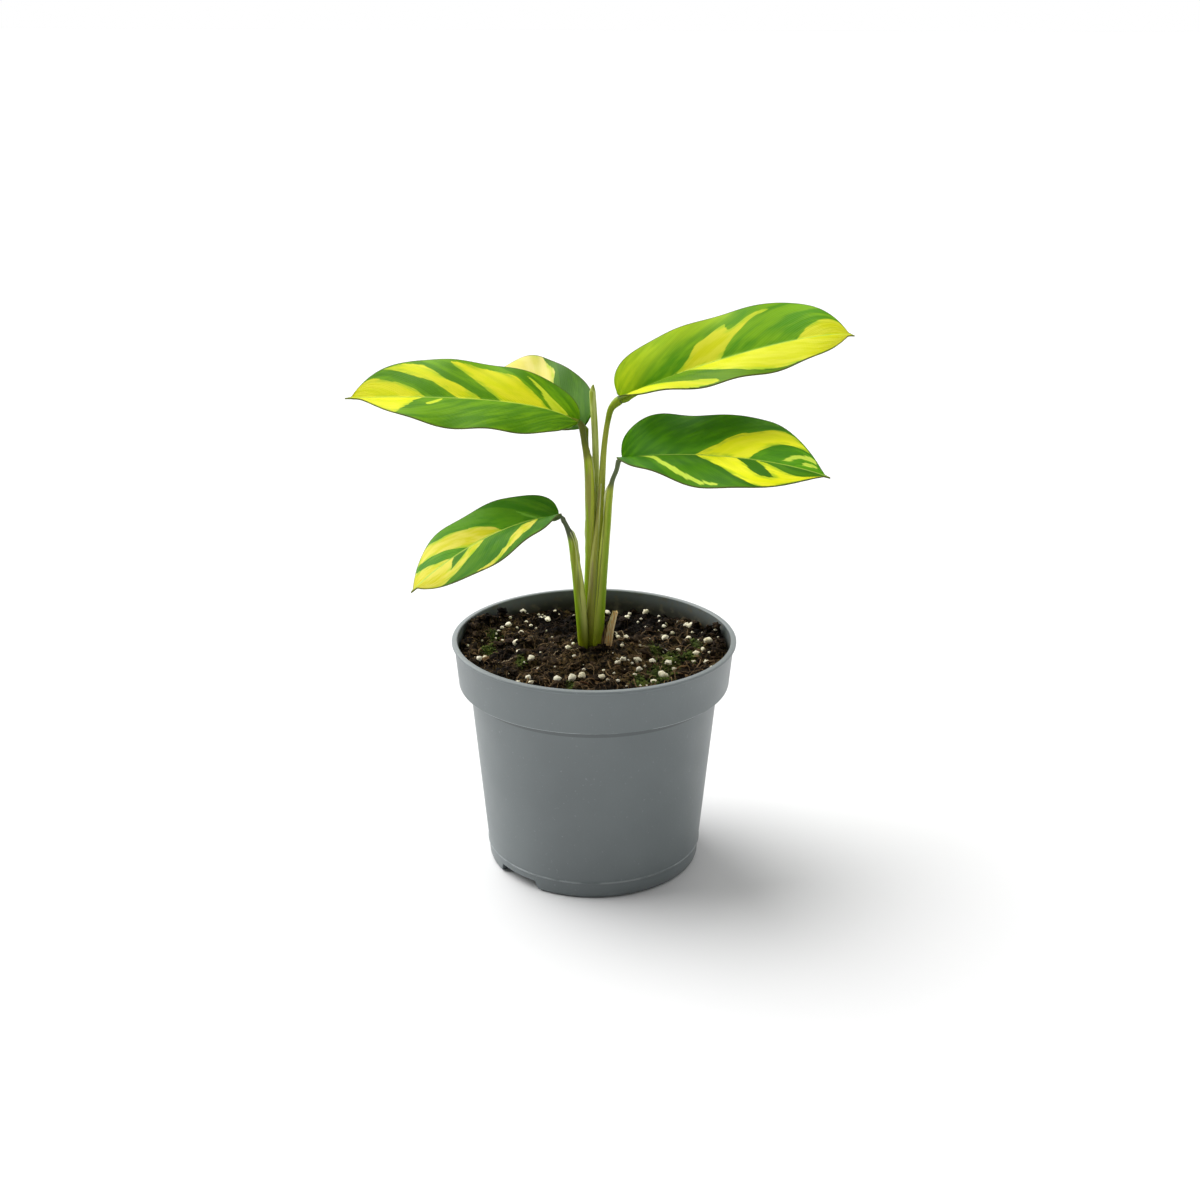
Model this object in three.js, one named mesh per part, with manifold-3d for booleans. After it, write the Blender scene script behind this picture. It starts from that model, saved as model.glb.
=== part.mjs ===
// Golden mosaic ctenanthe in a 12 cm nursery pot, about 240 mm tall.
// Millimetres, +Z up. The origin is the centre of the pot's foot, on the surface that it stands on,
// and -Y is the side that faces the viewer.
import * as THREE from "three";
import { mergeVertices } from "three/addons/utils/BufferGeometryUtils.js";
import Module from "manifold-3d";

const wasm = await Module();
wasm.setup();

// Driving dimensions of the pot
const potHeight = 100;
const lipRadius = 60;
const lipHeight = 1.6;
const bandTopRadius = 59;
const bandLowRadius = 57.4;
const bandLowHeight = 80.5;
const shoulderRadius = 52.8;
const footRadius = 45.5;
const footRidgeHeight = 7.5;
const wallThickness = 1.3;
const footRingHeight = 4.7;
const footRingWidth = 3.2;
const floorTop = 6.1;
const potSides = 64;
const drainHoleRadius = 4;
const drainHoleCircle = 30;
const drainHoleCount = 6;
const notchWidth = 24;
const notchAngles = [-135, 45];

// Driving dimensions of the planting
const clearance = 0.3;
const soilEdgeHeight = 91.5;
const soilMoundHeight = 3;
const rhizomeTop = 84;
const bladeThickness = 0.7;
const clumpSeed = 7;
const grainCount = 64;
const grainRadius = { least: 0.9, most: 1.7 };
const clodCount = 26;
const clodRadius = { least: 2.2, most: 4.6 };
const surfaceRadius = 54.5;
const stalkBundle = { x: 0.5, y: 6, radius: 9 };
const holeDepth = { under: 1, over: 14 };
const holeMargin = 0.55;

// Each leaf: the cubic curve of its midrib from base to tip, the outline of its two halves (half-width,
// place of the widest point, bluntness at the base and at the tip), each half's tilt in degrees from
// level at the base and at the tip, and the size and number of the waves along its margins.
const leaves = [
  { name: "leaf_upper_left", colour: 0x5f9a2c,
    midrib: [[-6.5, 2, 192], [-22, 5, 203], [-76, 10, 200.5], [-102.5, 13, 199]],
    left: { width: 20, widest: 0.58, base: 0.56, tip: 1.5, tilt: [-29, 2] },
    right: { width: 21.5, widest: 0.7, base: 0.62, tip: 1.1, tilt: [46, 42] },
    wave: { height: 0.9, count: 3.5 } },
  { name: "leaf_upper_right", colour: 0x7fae1e,
    midrib: [[10.5, 8, 200], [20.5, 6, 208.5], [86.5, 1, 232], [102.5, -3, 228.5]],
    left: { width: 21.5, widest: 0.66, base: 0.42, tip: 1.5, tilt: [66, 35] },
    right: { width: 21.5, widest: 0.38, base: 0.58, tip: 1.18, tilt: [23, -35] },
    wave: { height: 0.8, count: 4 } },
  { name: "leaf_lower_right", colour: 0x4d8a1c,
    midrib: [[11, 0, 177], [22.5, -6, 182], [63, -30, 189], [90, -44, 182]],
    left: { width: 22, widest: 0.66, base: 0.3, tip: 1.4, tilt: [66, 24] },
    right: { width: 22, widest: 0.42, base: 0.62, tip: 1.28, tilt: [24, -37] },
    wave: { height: 0.9, count: 3 } },
  { name: "leaf_lower_left", colour: 0x6fa02a,
    midrib: [[-14, -6, 154.5], [-26.5, -11.5, 157], [-50.5, -34, 154], [-71, -48, 136.5]],
    left: { width: 17.5, widest: 0.53, base: 0.6, tip: 0.95, tilt: [33, -19] },
    right: { width: 17.5, widest: 0.66, base: 0.28, tip: 1, tilt: [42, 5] },
    wave: { height: 0.6, count: 3 } },
  { name: "leaf_back", colour: 0x5d8a45,
    midrib: [[-4.5, 8, 188.5], [-17, 26, 191.5], [-42, 46, 195.5], [-50.5, 60, 194]],
    left: { width: 21, widest: 0.54, base: 0.42, tip: 1, tilt: [-12, -16] },
    right: { width: 21.5, widest: 0.6, base: 0.38, tip: 1.05, tilt: [58, 53] },
    wave: { height: 0.8, count: 3 } },
];
const bladeStations = 26;
const bladeColumns = [-1, -0.72, -0.42, -0.12, 0.12, 0.42, 0.72, 1];
const ribDepth = 0.9;
const curlPerWidth = 0.0075;

// Each stalk: its points from its foot in the soil up to the leaf that it carries, and its radius at each
// point. Two more points, with the last two radii, follow the leaf's midrib back from its base.
const stalks = [
  { name: "stalk_upper_left", colour: 0x5b6b1c, carries: "leaf_upper_left",
    path: [[-3.5, 7.2, 84.3], [-3.5, 7.2, 96], [-2.2, 7.3, 132], [-2.4, 6.8, 158], [-3, 5.2, 176], [-3.6, 3.2, 186]],
    radius: [1.7, 1.8, 1.7, 1.6, 1.25, 1.6, 1.6, 1.1] },
  { name: "stalk_upper_right", colour: 0x77852b, carries: "leaf_upper_right",
    path: [[0.4, 6.3, 84.3], [0.4, 6.3, 96], [0.8, 4.6, 132], [2.8, 5, 158], [3.6, 6.4, 180], [5.6, 7.8, 193]],
    radius: [1.6, 1.7, 1.6, 1.3, 1.15, 1.3, 1.6, 1.1] },
  { name: "stalk_lower_right", colour: 0x6a7a24, carries: "leaf_lower_right",
    path: [[1.3, 2.1, 84.3], [1.3, 2.1, 96], [4.1, 2.6, 132], [5.8, 2.2, 152], [7.2, 2.2, 164], [8.4, 2.4, 171]],
    radius: [1.9, 2, 1.9, 1.7, 1.1, 1, 1.1, 1] },
  { name: "stalk_lower_left", colour: 0x66761f, carries: "leaf_lower_left",
    path: [[-4.5, 3, 84.3], [-4.5, 3, 96], [-7.7, 1.6, 120], [-9.4, 0, 134], [-10.4, -1.6, 145], [-11.3, -2.8, 150]],
    radius: [2, 2.3, 2.2, 1.8, 1.1, 1, 1.1, 1] },
  { name: "stalk_back", colour: 0x59651f, carries: "leaf_back",
    path: [[-2.2, 10.9, 84.3], [-2.2, 10.9, 96], [-1.6, 11, 132], [-1.6, 10.8, 158], [-2, 9.6, 174], [-2.3, 7.6, 183]],
    radius: [1.4, 1.5, 1.3, 1.2, 1.1, 1.2, 1.3, 1] },
  { name: "rolled_new_leaf", colour: 0xa3b25a,
    path: [[1.2, 9.8, 84.3], [1.2, 9.8, 96], [1.3, 8.6, 132], [0.9, 8.6, 158], [0.3, 8.6, 184], [-0.4, 8.2, 198],
      [-0.8, 8, 206]],
    radius: [1.4, 1.5, 1.5, 1.4, 1.5, 1.4, 0.5] },
  { name: "old_stalk_stub", colour: 0xb08a55,
    path: [[5.6, 3.2, 84.3], [5.9, 3, 96], [7, 2.4, 104], [7.8, 2, 110]],
    radius: [1.5, 1.6, 1.4, 0.7] },
];
const stalkSides = 10;
const stalkStepLength = 9;
const stalkRunIn = [2.8, 0.7];

// The rhizome lies across the stalks' feet: the centres and radii of its knots, and its roots
const rhizomeKnots = [[-5, 4, 80, 5.2], [0, 6, 79, 6], [3, 9, 80, 4.6], [5, 3, 80, 4.4]];
const roots = [
  { end: [-26, -14, 26], start: [-5, 3, 80] },
  { end: [20, -22, 22], start: [3, 3, 79] },
  { end: [27, 20, 30], start: [4, 8, 79] },
  { end: [-18, 27, 24], start: [-2, 8, 79] },
  { end: [1, 2, 14], start: [0, 5, 78] },
];
const rootRadius = 1.3;
const rootChannelRadius = 1.7;

// A number from 0 to 1 that looks random and is the same on every run
function seeded(seed) {
  const value = Math.sin(seed * 127.1 + 311.7) * 43758.5453;
  return value - Math.floor(value);
}

function solidOf(geometry) {
  const bare = geometry.clone();
  for (const name of ["normal", "uv"]) bare.deleteAttribute(name);
  const merged = mergeVertices(bare, 1e-4);
  return new wasm.Manifold(new wasm.Mesh({
    numProp: 3,
    vertProperties: new Float32Array(merged.attributes.position.array),
    triVerts: new Uint32Array(merged.index.array),
  }));
}

function geometryOf(solid) {
  const mesh = solid.getMesh();
  const geometry = new THREE.BufferGeometry();
  geometry.setAttribute("position", new THREE.BufferAttribute(new Float32Array(mesh.vertProperties), 3));
  geometry.setIndex(new THREE.BufferAttribute(new Uint32Array(mesh.triVerts), 1));
  geometry.computeVertexNormals();
  return geometry;
}

function named(name, geometry, colour, roughness) {
  const material = new THREE.MeshStandardMaterial({ color: colour, roughness, metalness: 0 });
  const mesh = new THREE.Mesh(geometry, material);
  mesh.name = name;
  return mesh;
}

// A surface of revolution about Z, from [radius, height] points
function turned(points) {
  const profile = points.map(([radius, height]) => new THREE.Vector2(radius, height));
  return new THREE.LatheGeometry(profile, potSides).rotateX(Math.PI / 2);
}

// The outside radius of the pot's plain wall at a height
function wallRadius(height) {
  return footRadius + (shoulderRadius - footRadius) * (height / bandLowHeight);
}

function potSolid() {
  const profile = [
    [0, floorTop - wallThickness],
    [footRadius - footRingWidth, floorTop - wallThickness],
    [footRadius - footRingWidth, 0],
    [footRadius - 1, 0],
    [wallRadius(1), 1],
    [wallRadius(footRidgeHeight - 0.5), footRidgeHeight - 0.5],
    [wallRadius(footRidgeHeight) + 0.35, footRidgeHeight],
    [wallRadius(footRidgeHeight + 0.5), footRidgeHeight + 0.5],
    [shoulderRadius, bandLowHeight],
    [bandLowRadius - 0.4, bandLowHeight],
    [bandLowRadius, bandLowHeight + 0.4],
    [bandTopRadius, potHeight - lipHeight],
    [lipRadius, potHeight - lipHeight + 0.5],
    [lipRadius, potHeight - 0.5],
    [lipRadius - 0.5, potHeight],
    [bandTopRadius - wallThickness, potHeight],
    [bandLowRadius - wallThickness, bandLowHeight + wallThickness],
    [shoulderRadius - wallThickness, bandLowHeight + wallThickness],
    [wallRadius(floorTop) - wallThickness - 1, floorTop],
    [0, floorTop],
  ];
  let pot = solidOf(turned(profile));
  const drill = new THREE.CylinderGeometry(drainHoleRadius, drainHoleRadius, 4 * wallThickness, 20)
    .rotateX(Math.PI / 2);
  for (let index = 0; index < drainHoleCount; index++) {
    const angle = (2 * Math.PI * (index + 0.5)) / drainHoleCount;
    const [x, y] = [drainHoleCircle * Math.cos(angle), drainHoleCircle * Math.sin(angle)];
    pot = pot.subtract(solidOf(drill.clone().translate(x, y, floorTop - wallThickness / 2)));
  }
  for (const degrees of notchAngles) pot = pot.subtract(solidOf(notchCutter(degrees)));
  return pot;
}

// A drain notch under the foot ring, with slanted ends
function notchCutter(degrees) {
  const shape = new THREE.Shape();
  shape.moveTo(-notchWidth / 2, -1);
  shape.lineTo(notchWidth / 2, -1);
  shape.lineTo(notchWidth / 2 - 2, footRingHeight - 0.2);
  shape.lineTo(2 - notchWidth / 2, footRingHeight - 0.2);
  shape.closePath();
  const bar = new THREE.ExtrudeGeometry(shape, { depth: 2.5 * footRingWidth, bevelEnabled: false });
  bar.rotateX(Math.PI / 2).rotateZ(Math.PI / 2);
  return bar.translate(footRadius - 1.7 * footRingWidth, 0, 0).rotateZ(THREE.MathUtils.degToRad(degrees));
}

// The height of the soil's surface, mounded at the plant and banked against the wall in places
function soilHeight(x, y) {
  const radius = Math.hypot(x, y);
  const angle = Math.atan2(y, x);
  const mound = soilMoundHeight * Math.exp(-((x / 26) ** 2 + ((y - 4) / 24) ** 2));
  const side = Math.abs(Math.cos(angle)) ** 3 * Math.max(0, radius / 55 - 0.55) * 7;
  const unevenness = 1.1 * Math.sin(x * 0.31 + 1.3) * Math.sin(y * 0.27 + 0.4) + 0.8 * Math.sin(x * 0.63 - y * 0.52);
  return soilEdgeHeight - 1 + mound + side + unevenness;
}

// The soil's radius inside the pot at a height, clear of the wall
function soilRadius(height) {
  const inset = wallThickness + clearance;
  if (height <= bandLowHeight + wallThickness) return wallRadius(height) - inset;
  const share = (height - bandLowHeight) / (potHeight - bandLowHeight);
  return bandLowRadius + (bandTopRadius - bandLowRadius) * share - inset;
}

// The body of soil as a closed lattice: rings of the surface, then rings down the side and the bottom
function soilBody() {
  const sides = 44;
  const rings = 8;
  const shoulder = bandLowHeight + wallThickness + clearance;
  const topRadius = soilRadius(soilEdgeHeight) - 0.2;
  const positions = [0, 0, soilHeight(0, 0)];
  const addRing = (radius, heightAt) => {
    for (let side = 0; side < sides; side++) {
      const angle = (2 * Math.PI * side) / sides;
      const [x, y] = [radius * Math.cos(angle), radius * Math.sin(angle)];
      positions.push(x, y, heightAt(x, y));
    }
  };
  for (let ring = 1; ring <= rings; ring++) addRing((topRadius * ring) / rings, soilHeight);
  addRing(soilRadius(shoulder + 1) - 0.2, () => shoulder);
  addRing(soilRadius(shoulder - 2 * clearance) - 0.2, () => shoulder);
  addRing(soilRadius(floorTop) - 1.4, () => floorTop + clearance);
  positions.push(0, 0, floorTop + clearance);
  const ringTotal = rings + 3;
  const bottom = positions.length / 3 - 1;
  const indices = [];
  for (let side = 0; side < sides; side++) {
    const next = (side + 1) % sides;
    indices.push(0, 1 + side, 1 + next);
    for (let ring = 0; ring < ringTotal - 1; ring++) {
      const [a, b] = [1 + ring * sides + side, 1 + ring * sides + next];
      indices.push(a, a + sides, b + sides, a, b + sides, b);
    }
    const last = 1 + (ringTotal - 1) * sides;
    indices.push(last + side, bottom, last + next);
  }
  const geometry = new THREE.BufferGeometry();
  geometry.setAttribute("position", new THREE.Float32BufferAttribute(positions, 3));
  geometry.setIndex(indices);
  return geometry;
}

// One rough grain or clod, an icosahedron pushed out of round
function lump(radius, seed, flatness) {
  const whole = new THREE.IcosahedronGeometry(radius, 0).deleteAttribute("normal").deleteAttribute("uv");
  const geometry = mergeVertices(whole);
  const place = geometry.attributes.position;
  for (let index = 0; index < place.count; index++) {
    const push = 0.8 + 0.4 * seeded(seed * 13 + index);
    place.setXYZ(index, place.getX(index) * push, place.getY(index) * push, place.getZ(index) * push * flatness);
  }
  return geometry.rotateZ(seeded(seed + 0.5) * Math.PI);
}

// Whether a spot is clear of the stalks and far enough from the wall for a lump of a radius
function isFree(x, y, radius) {
  const fromWall = surfaceRadius - Math.hypot(x, y);
  const fromStalks = Math.hypot(x - stalkBundle.x, y - stalkBundle.y) - stalkBundle.radius;
  return fromWall > radius && fromStalks > 1.5 * radius;
}

function soilSolid(rhizome, stalkSolids) {
  let soil = solidOf(soilBody());
  const scatter = (count, size, sink, flatness, seed) => {
    for (let index = 0; index < count; index++) {
      const radius = size.least + (size.most - size.least) * seeded(seed + index * 3.1);
      const reach = surfaceRadius * Math.sqrt(seeded(seed + index * 5.7 + 1));
      const angle = 2 * Math.PI * seeded(seed + index * 7.3 + 2);
      const [x, y] = [reach * Math.cos(angle), reach * Math.sin(angle)];
      if (!isFree(x, y, radius)) continue;
      const shape = lump(radius, seed + index, flatness).translate(x, y, soilHeight(x, y) + radius * sink);
      soil = soil.add(solidOf(shape));
    }
  };
  scatter(clodCount, clodRadius, 0, 0.6, clumpSeed);
  scatter(grainCount, grainRadius, 0.25, 0.9, clumpSeed + 400);
  soil = soil.subtract(rhizome);
  for (const stalk of stalkSolids) soil = soil.subtract(stalk);
  return withoutCrumbs(soil);
}

// The largest body alone, without the crumbs that cuts leave between neighbouring holes
function withoutCrumbs(solid) {
  const bodies = solid.decompose();
  return bodies.reduce((largest, body) => (body.volume() > largest.volume() ? body : largest));
}

// A tube through points, with a radius at each: rings of a cylinder laid along a smooth curve
function taperedTube(points, radii, sides = stalkSides) {
  const curve = new THREE.CatmullRomCurve3(points.map((point) => new THREE.Vector3(...point)), false, "centripetal");
  const steps = Math.max(3, Math.round(curve.getLength() / stalkStepLength));
  const frames = curve.computeFrenetFrames(steps, false);
  const geometry = new THREE.CylinderGeometry(1, 1, 1, sides, steps).rotateX(Math.PI / 2);
  const place = geometry.attributes.position;
  for (let index = 0; index < place.count; index++) {
    const share = THREE.MathUtils.clamp(place.getZ(index) + 0.5, 0, 1);
    const step = Math.round(share * steps);
    const at = curve.getUtoTmapping(step / steps) * (points.length - 1);
    const low = Math.min(Math.floor(at), points.length - 2);
    const radius = THREE.MathUtils.lerp(radii[low], radii[low + 1], at - low);
    const centre = curve.getPointAt(step / steps);
    centre.addScaledVector(frames.normals[step], place.getX(index) * radius);
    centre.addScaledVector(frames.binormals[step], place.getY(index) * radius);
    place.setXYZ(index, centre.x, centre.y, centre.z);
  }
  return geometry;
}

// A stalk's points with the two that run in under its leaf's base
function wholePath(stalk) {
  const leaf = leaves.find((other) => other.name === stalk.carries);
  if (!leaf) return stalk.path;
  const [base, next] = leaf.midrib.slice(0, 2).map((point) => new THREE.Vector3(...point));
  const heading = next.clone().sub(base).normalize();
  const runIn = stalkRunIn.map((length) => base.clone().addScaledVector(heading, -length).toArray());
  return [...stalk.path, ...runIn];
}

function halfWidth(half, share) {
  const fromWidest = share < half.widest ? 1 - share / half.widest : (share - half.widest) / (1 - half.widest);
  const bluntness = share < half.widest ? half.base : half.tip;
  return half.width * Math.max(0, 1 - fromWidest ** 2) ** bluntness;
}

// A point of a leaf's upper face and its upward normal, at a share of its length and from -1 to 1 across
function leafPoint(leaf, curve, share, across) {
  const centre = curve.getPoint(share);
  const heading = curve.getTangent(share);
  const level = new THREE.Vector3().crossVectors(heading, new THREE.Vector3(0, 0, 1)).normalize();
  const upward = new THREE.Vector3().crossVectors(level, heading);
  const half = across > 0 ? leaf.right : leaf.left;
  const side = Math.sign(across);
  const tilt = THREE.MathUtils.degToRad(THREE.MathUtils.lerp(half.tilt[0], half.tilt[1], share));
  const width = halfWidth(half, share) * Math.abs(across);
  const outward = level.clone().multiplyScalar(side * Math.cos(tilt)).addScaledVector(upward, Math.sin(tilt));
  const normal = upward.clone().multiplyScalar(Math.cos(tilt)).addScaledVector(level, -side * Math.sin(tilt));
  const wave = leaf.wave.height * across ** 2 * Math.sin(2 * Math.PI * leaf.wave.count * share + side)
    * Math.sin(Math.PI * share);
  const point = centre.addScaledVector(outward, width)
    .addScaledVector(normal, wave - curlPerWidth * width * width);
  if (across === 0) normal.copy(upward);
  return { point, normal };
}

// A leaf blade as a closed lattice: both faces split into triangles alike, and a rim around them
function blade(leaf) {
  const curve = new THREE.CubicBezierCurve3(...leaf.midrib.map((point) => new THREE.Vector3(...point)));
  const columns = bladeColumns.length;
  const positions = [];
  for (const isTop of [true, false]) {
    for (let row = 0; row <= bladeStations; row++) {
      const share = 0.004 + 0.99 * (0.5 - 0.5 * Math.cos((Math.PI * row) / bladeStations));
      for (const across of bladeColumns) {
        const { point, normal } = leafPoint(leaf, curve, share, across);
        const rib = Math.abs(across) < 0.2 ? ribDepth * (1 - share) : 0;
        if (!isTop) point.addScaledVector(normal, -(bladeThickness + rib));
        positions.push(point.x, point.y, point.z);
      }
    }
  }
  const under = (bladeStations + 1) * columns;
  const indices = [];
  const addQuad = (a, b, c, d) => indices.push(a, b, c, a, c, d);
  for (let row = 0; row < bladeStations; row++) {
    for (let column = 0; column < columns - 1; column++) {
      const a = row * columns + column;
      addQuad(a, a + 1, a + 1 + columns, a + columns);
      indices.push(under + a, under + a + 1 + columns, under + a + 1);
      indices.push(under + a, under + a + columns, under + a + 1 + columns);
    }
    const [near, far] = [row * columns, row * columns + columns - 1];
    addQuad(near, near + columns, under + near + columns, under + near);
    addQuad(far, under + far, under + far + columns, far + columns);
  }
  const lastRow = bladeStations * columns;
  for (let column = 0; column < columns - 1; column++) {
    addQuad(column, under + column, under + column + 1, column + 1);
    const tip = lastRow + column;
    addQuad(tip, tip + 1, under + tip + 1, under + tip);
  }
  const geometry = new THREE.BufferGeometry();
  geometry.setAttribute("position", new THREE.Float32BufferAttribute(positions, 3));
  geometry.setIndex(indices);
  return geometry;
}

// The plain hole in the soil that a stalk stands in: down to the rhizome, and well clear of the surface
function stalkHole(stalk) {
  const [foot, surface, above] = stalk.path.slice(0, 3).map((point) => new THREE.Vector3(...point));
  foot.z -= holeDepth.under;
  const over = surface.clone().lerp(above, holeDepth.over / (above.z - surface.z));
  const radius = stalk.radius[1] + holeMargin;
  const path = [foot, surface, over].map((point) => point.toArray());
  return solidOf(taperedTube(path, [radius, radius, radius]));
}

// The rhizome's knots and roots, each grown by a margin, with the knots' tops cut level under the stalks
function rhizomeSolid(margin) {
  let knots = null;
  for (const [x, y, z, radius] of rhizomeKnots) {
    const knot = solidOf(new THREE.IcosahedronGeometry(radius + margin, 1).translate(x, y, z));
    knots = knots ? knots.add(knot) : knot;
  }
  const lid = new THREE.BoxGeometry(60, 60, 20).translate(0, 0, rhizomeTop + margin + 10);
  let whole = knots.subtract(solidOf(lid));
  const radius = margin > 0 ? rootChannelRadius : rootRadius;
  for (const root of roots) {
    const [from, to] = [new THREE.Vector3(...root.start), new THREE.Vector3(...root.end)];
    const bend = from.clone().lerp(to, 0.55);
    bend.x += (to.x - from.x) * 0.25;
    bend.y += (to.y - from.y) * 0.25;
    const end = to.clone().addScaledVector(to.clone().sub(bend).normalize(), margin);
    const path = [from, bend, end].map((point) => point.toArray());
    whole = whole.add(solidOf(taperedTube(path, [radius * 1.3, radius, radius * 0.6], 6)));
  }
  return whole;
}

const plant = new THREE.Group();
plant.add(named("pot", geometryOf(potSolid()), 0x4a4c4c, 0.55));

const stalkHoles = stalks.map(stalkHole);
plant.add(named("soil", geometryOf(soilSolid(rhizomeSolid(clearance), stalkHoles)), 0x2b211a, 0.95));
plant.add(named("rhizome_and_roots", geometryOf(rhizomeSolid(0)), 0x9b7f56, 0.85));
for (const leaf of leaves) plant.add(named(leaf.name, blade(leaf), leaf.colour, 0.45));
for (const stalk of stalks) {
  plant.add(named(stalk.name, taperedTube(wholePath(stalk), stalk.radius), stalk.colour, 0.5));
}

export default plant;
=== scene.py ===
# Golden mosaic ctenanthe in a 12 cm nursery pot
import math
from math import cos, exp, hypot, pi, radians, sin, sqrt

import bpy
import numpy as np
from mathutils import Matrix, Vector, noise


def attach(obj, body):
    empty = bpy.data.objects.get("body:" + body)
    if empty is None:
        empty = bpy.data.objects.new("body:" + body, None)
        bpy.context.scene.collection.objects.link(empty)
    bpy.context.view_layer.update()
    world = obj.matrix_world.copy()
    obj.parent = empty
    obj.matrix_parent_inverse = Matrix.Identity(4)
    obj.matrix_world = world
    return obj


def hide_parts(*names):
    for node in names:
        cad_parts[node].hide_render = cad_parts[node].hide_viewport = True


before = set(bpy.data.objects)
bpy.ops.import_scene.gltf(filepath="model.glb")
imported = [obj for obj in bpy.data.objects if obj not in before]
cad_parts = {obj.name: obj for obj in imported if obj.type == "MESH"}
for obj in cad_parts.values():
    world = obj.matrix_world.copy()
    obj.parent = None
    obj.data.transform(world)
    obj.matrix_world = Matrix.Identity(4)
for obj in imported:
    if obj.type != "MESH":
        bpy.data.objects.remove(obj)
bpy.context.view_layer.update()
mm = 0.001


# small helpers


def linear(hexColour):  # sRGB hex to a linear RGBA colour
    channels = [int(hexColour[i:i + 2], 16) / 255 for i in (1, 3, 5)]
    return tuple(c / 12.92 if c <= 0.04045 else ((c + 0.055) / 1.055) ** 2.4 for c in channels) + (1.0,)


making = {}  # the material or world that the functions from here to finishMaterial add nodes to


def newMaterial(name):
    making["owner"] = bpy.data.materials.new(name)
    making["owner"].use_nodes = True


def fill(node, inputs):
    # socket name or number -> a value, a colour like "#aabbcc", or (node, output) for a link
    for name, value in inputs.items():
        if isinstance(value, tuple) and isinstance(value[0], bpy.types.Node):
            making["owner"].node_tree.links.new(value[0].outputs[value[1]], node.inputs[name])
        else:
            node.inputs[name].default_value = linear(value) if isinstance(value, str) else value


def addNode(kind, settings=None, inputs=None):
    node = making["owner"].node_tree.nodes.new("ShaderNode" + kind)
    for name, value in (settings or {}).items():
        setattr(node, name, value)
    fill(node, inputs or {})
    return node


# the functions from here to layered give (node, output), which fits any input


def objectPlace(stretch=None):  # in metres, or drawn out along Z by a small share
    place = addNode("TexCoord"), "Object"
    if stretch:
        place = addNode("Mapping", None, {"Vector": place, "Scale": (1.0, 1.0, stretch)}), "Vector"
    return place


def axisOf(source, axis):
    return addNode("SeparateXYZ", None, {"Vector": source}), axis


def stored(name, output="Fac"):  # what the mesh keeps at each of its points
    return addNode("Attribute", {"attribute_name": name}), output


def cloudy(source, scale, detail=2.0, roughness=0.5):
    return addNode("TexNoise", None,
                   {"Vector": source, "Scale": scale, "Detail": detail, "Roughness": roughness}), "Fac"


def calc(operation, *values):
    return addNode("Math", {"operation": operation}, dict(enumerate(values))), "Value"


def times(first, second):
    return calc("MULTIPLY", first, second)


def mixColour(factor, first, second, blend="MIX"):
    return addNode("Mix", {"data_type": "RGBA", "blend_type": blend}, {0: factor, 6: first, 7: second}), 2


def ramp(source, low, high, bottom=0.0, top=1.0, kind="SMOOTHSTEP"):  # bottom below low, top above high
    return addNode("MapRange", {"interpolation_type": kind},
                   {"Value": source, "From Min": low, "From Max": high, "To Min": bottom, "To Max": top}), "Result"


def spanned(source, bottom, top, low=0.0, high=1.0):  # the same along a straight line
    return ramp(source, low, high, bottom, top, "LINEAR")


def relief(height, strength, depth):  # depth in metres
    return addNode("Bump", None, {"Height": height, "Strength": strength, "Distance": depth}), "Normal"


def layered(tone, *layers):  # each layer is (share, colour) and lies over those before it
    for share, colour in layers:
        tone = mixColour(share, tone, colour)
    return tone


def finishMaterial(tone, roughness, height=None, strength=0.0, depth=0.0, specular=0.5, ior=1.5):
    # height, strength and depth make the fine relief; the rest goes straight to the shader's sockets
    inputs = {"Base Color": tone, "Roughness": roughness, "Specular IOR Level": specular, "IOR": ior}
    if height:
        inputs["Normal"] = relief(height, strength, depth)
    fill(making["owner"].node_tree.nodes["Principled BSDF"], inputs)
    return making["owner"]


def deselectAll():
    if bpy.context.object and bpy.context.object.mode != "OBJECT":
        setMode("OBJECT")
    bpy.ops.object.select_all(action="DESELECT")


def keepOnly(piece):  # select one piece and make it active
    deselectAll()
    piece.select_set(True)
    bpy.context.view_layer.objects.active = piece


def applyModifier(piece, kind, **settings):
    keepOnly(piece)
    modifier = piece.modifiers.new(kind.title(), kind)
    for name, value in settings.items():
        setattr(modifier, name, value)
    bpy.ops.object.modifier_apply(modifier=modifier.name)


def joinPieces(pieces, name):
    deselectAll()
    for piece in pieces:
        piece.select_set(True)
    bpy.context.view_layer.objects.active = pieces[0]
    if len(pieces) > 1:
        bpy.ops.object.join()
    whole = bpy.context.object
    whole.name = name
    whole.data.name = name
    return whole


def setMode(mode):
    bpy.ops.object.mode_set(mode=mode)


def gridPiece(along, across):
    deselectAll()
    bpy.ops.mesh.primitive_grid_add(x_subdivisions=along, y_subdivisions=across, size=2)
    return bpy.context.object


def facesOutward():  # the last step in edit mode
    bpy.ops.mesh.select_all(action="SELECT")
    bpy.ops.mesh.normals_make_consistent(inside=False)
    setMode("OBJECT")


def store(mesh, name, values):  # at each point of the mesh, one number or three
    values = np.array(values, np.float32)
    kind, field = ("FLOAT", "value") if values.ndim == 1 else ("FLOAT_VECTOR", "vector")
    mesh.attributes.new(name, kind, "POINT").data.foreach_set(field, values.ravel())


def addMaterials(piece, materials, shown=0):  # shown is the number of the one that covers the piece
    for material in materials:
        piece.data.materials.append(material)
    for polygon in piece.data.polygons if shown else ():
        polygon.material_index = shown


def finish(piece, node, smoothDegrees, material=None):  # smoothDegrees is None for smooth all over
    if material:
        piece.data.materials.append(material)
    keepOnly(piece)
    if smoothDegrees is None:
        bpy.ops.object.shade_smooth()
    else:
        bpy.ops.object.shade_smooth_by_angle(angle=radians(smoothDegrees))
    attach(piece, "root")
    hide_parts(node)


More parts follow.
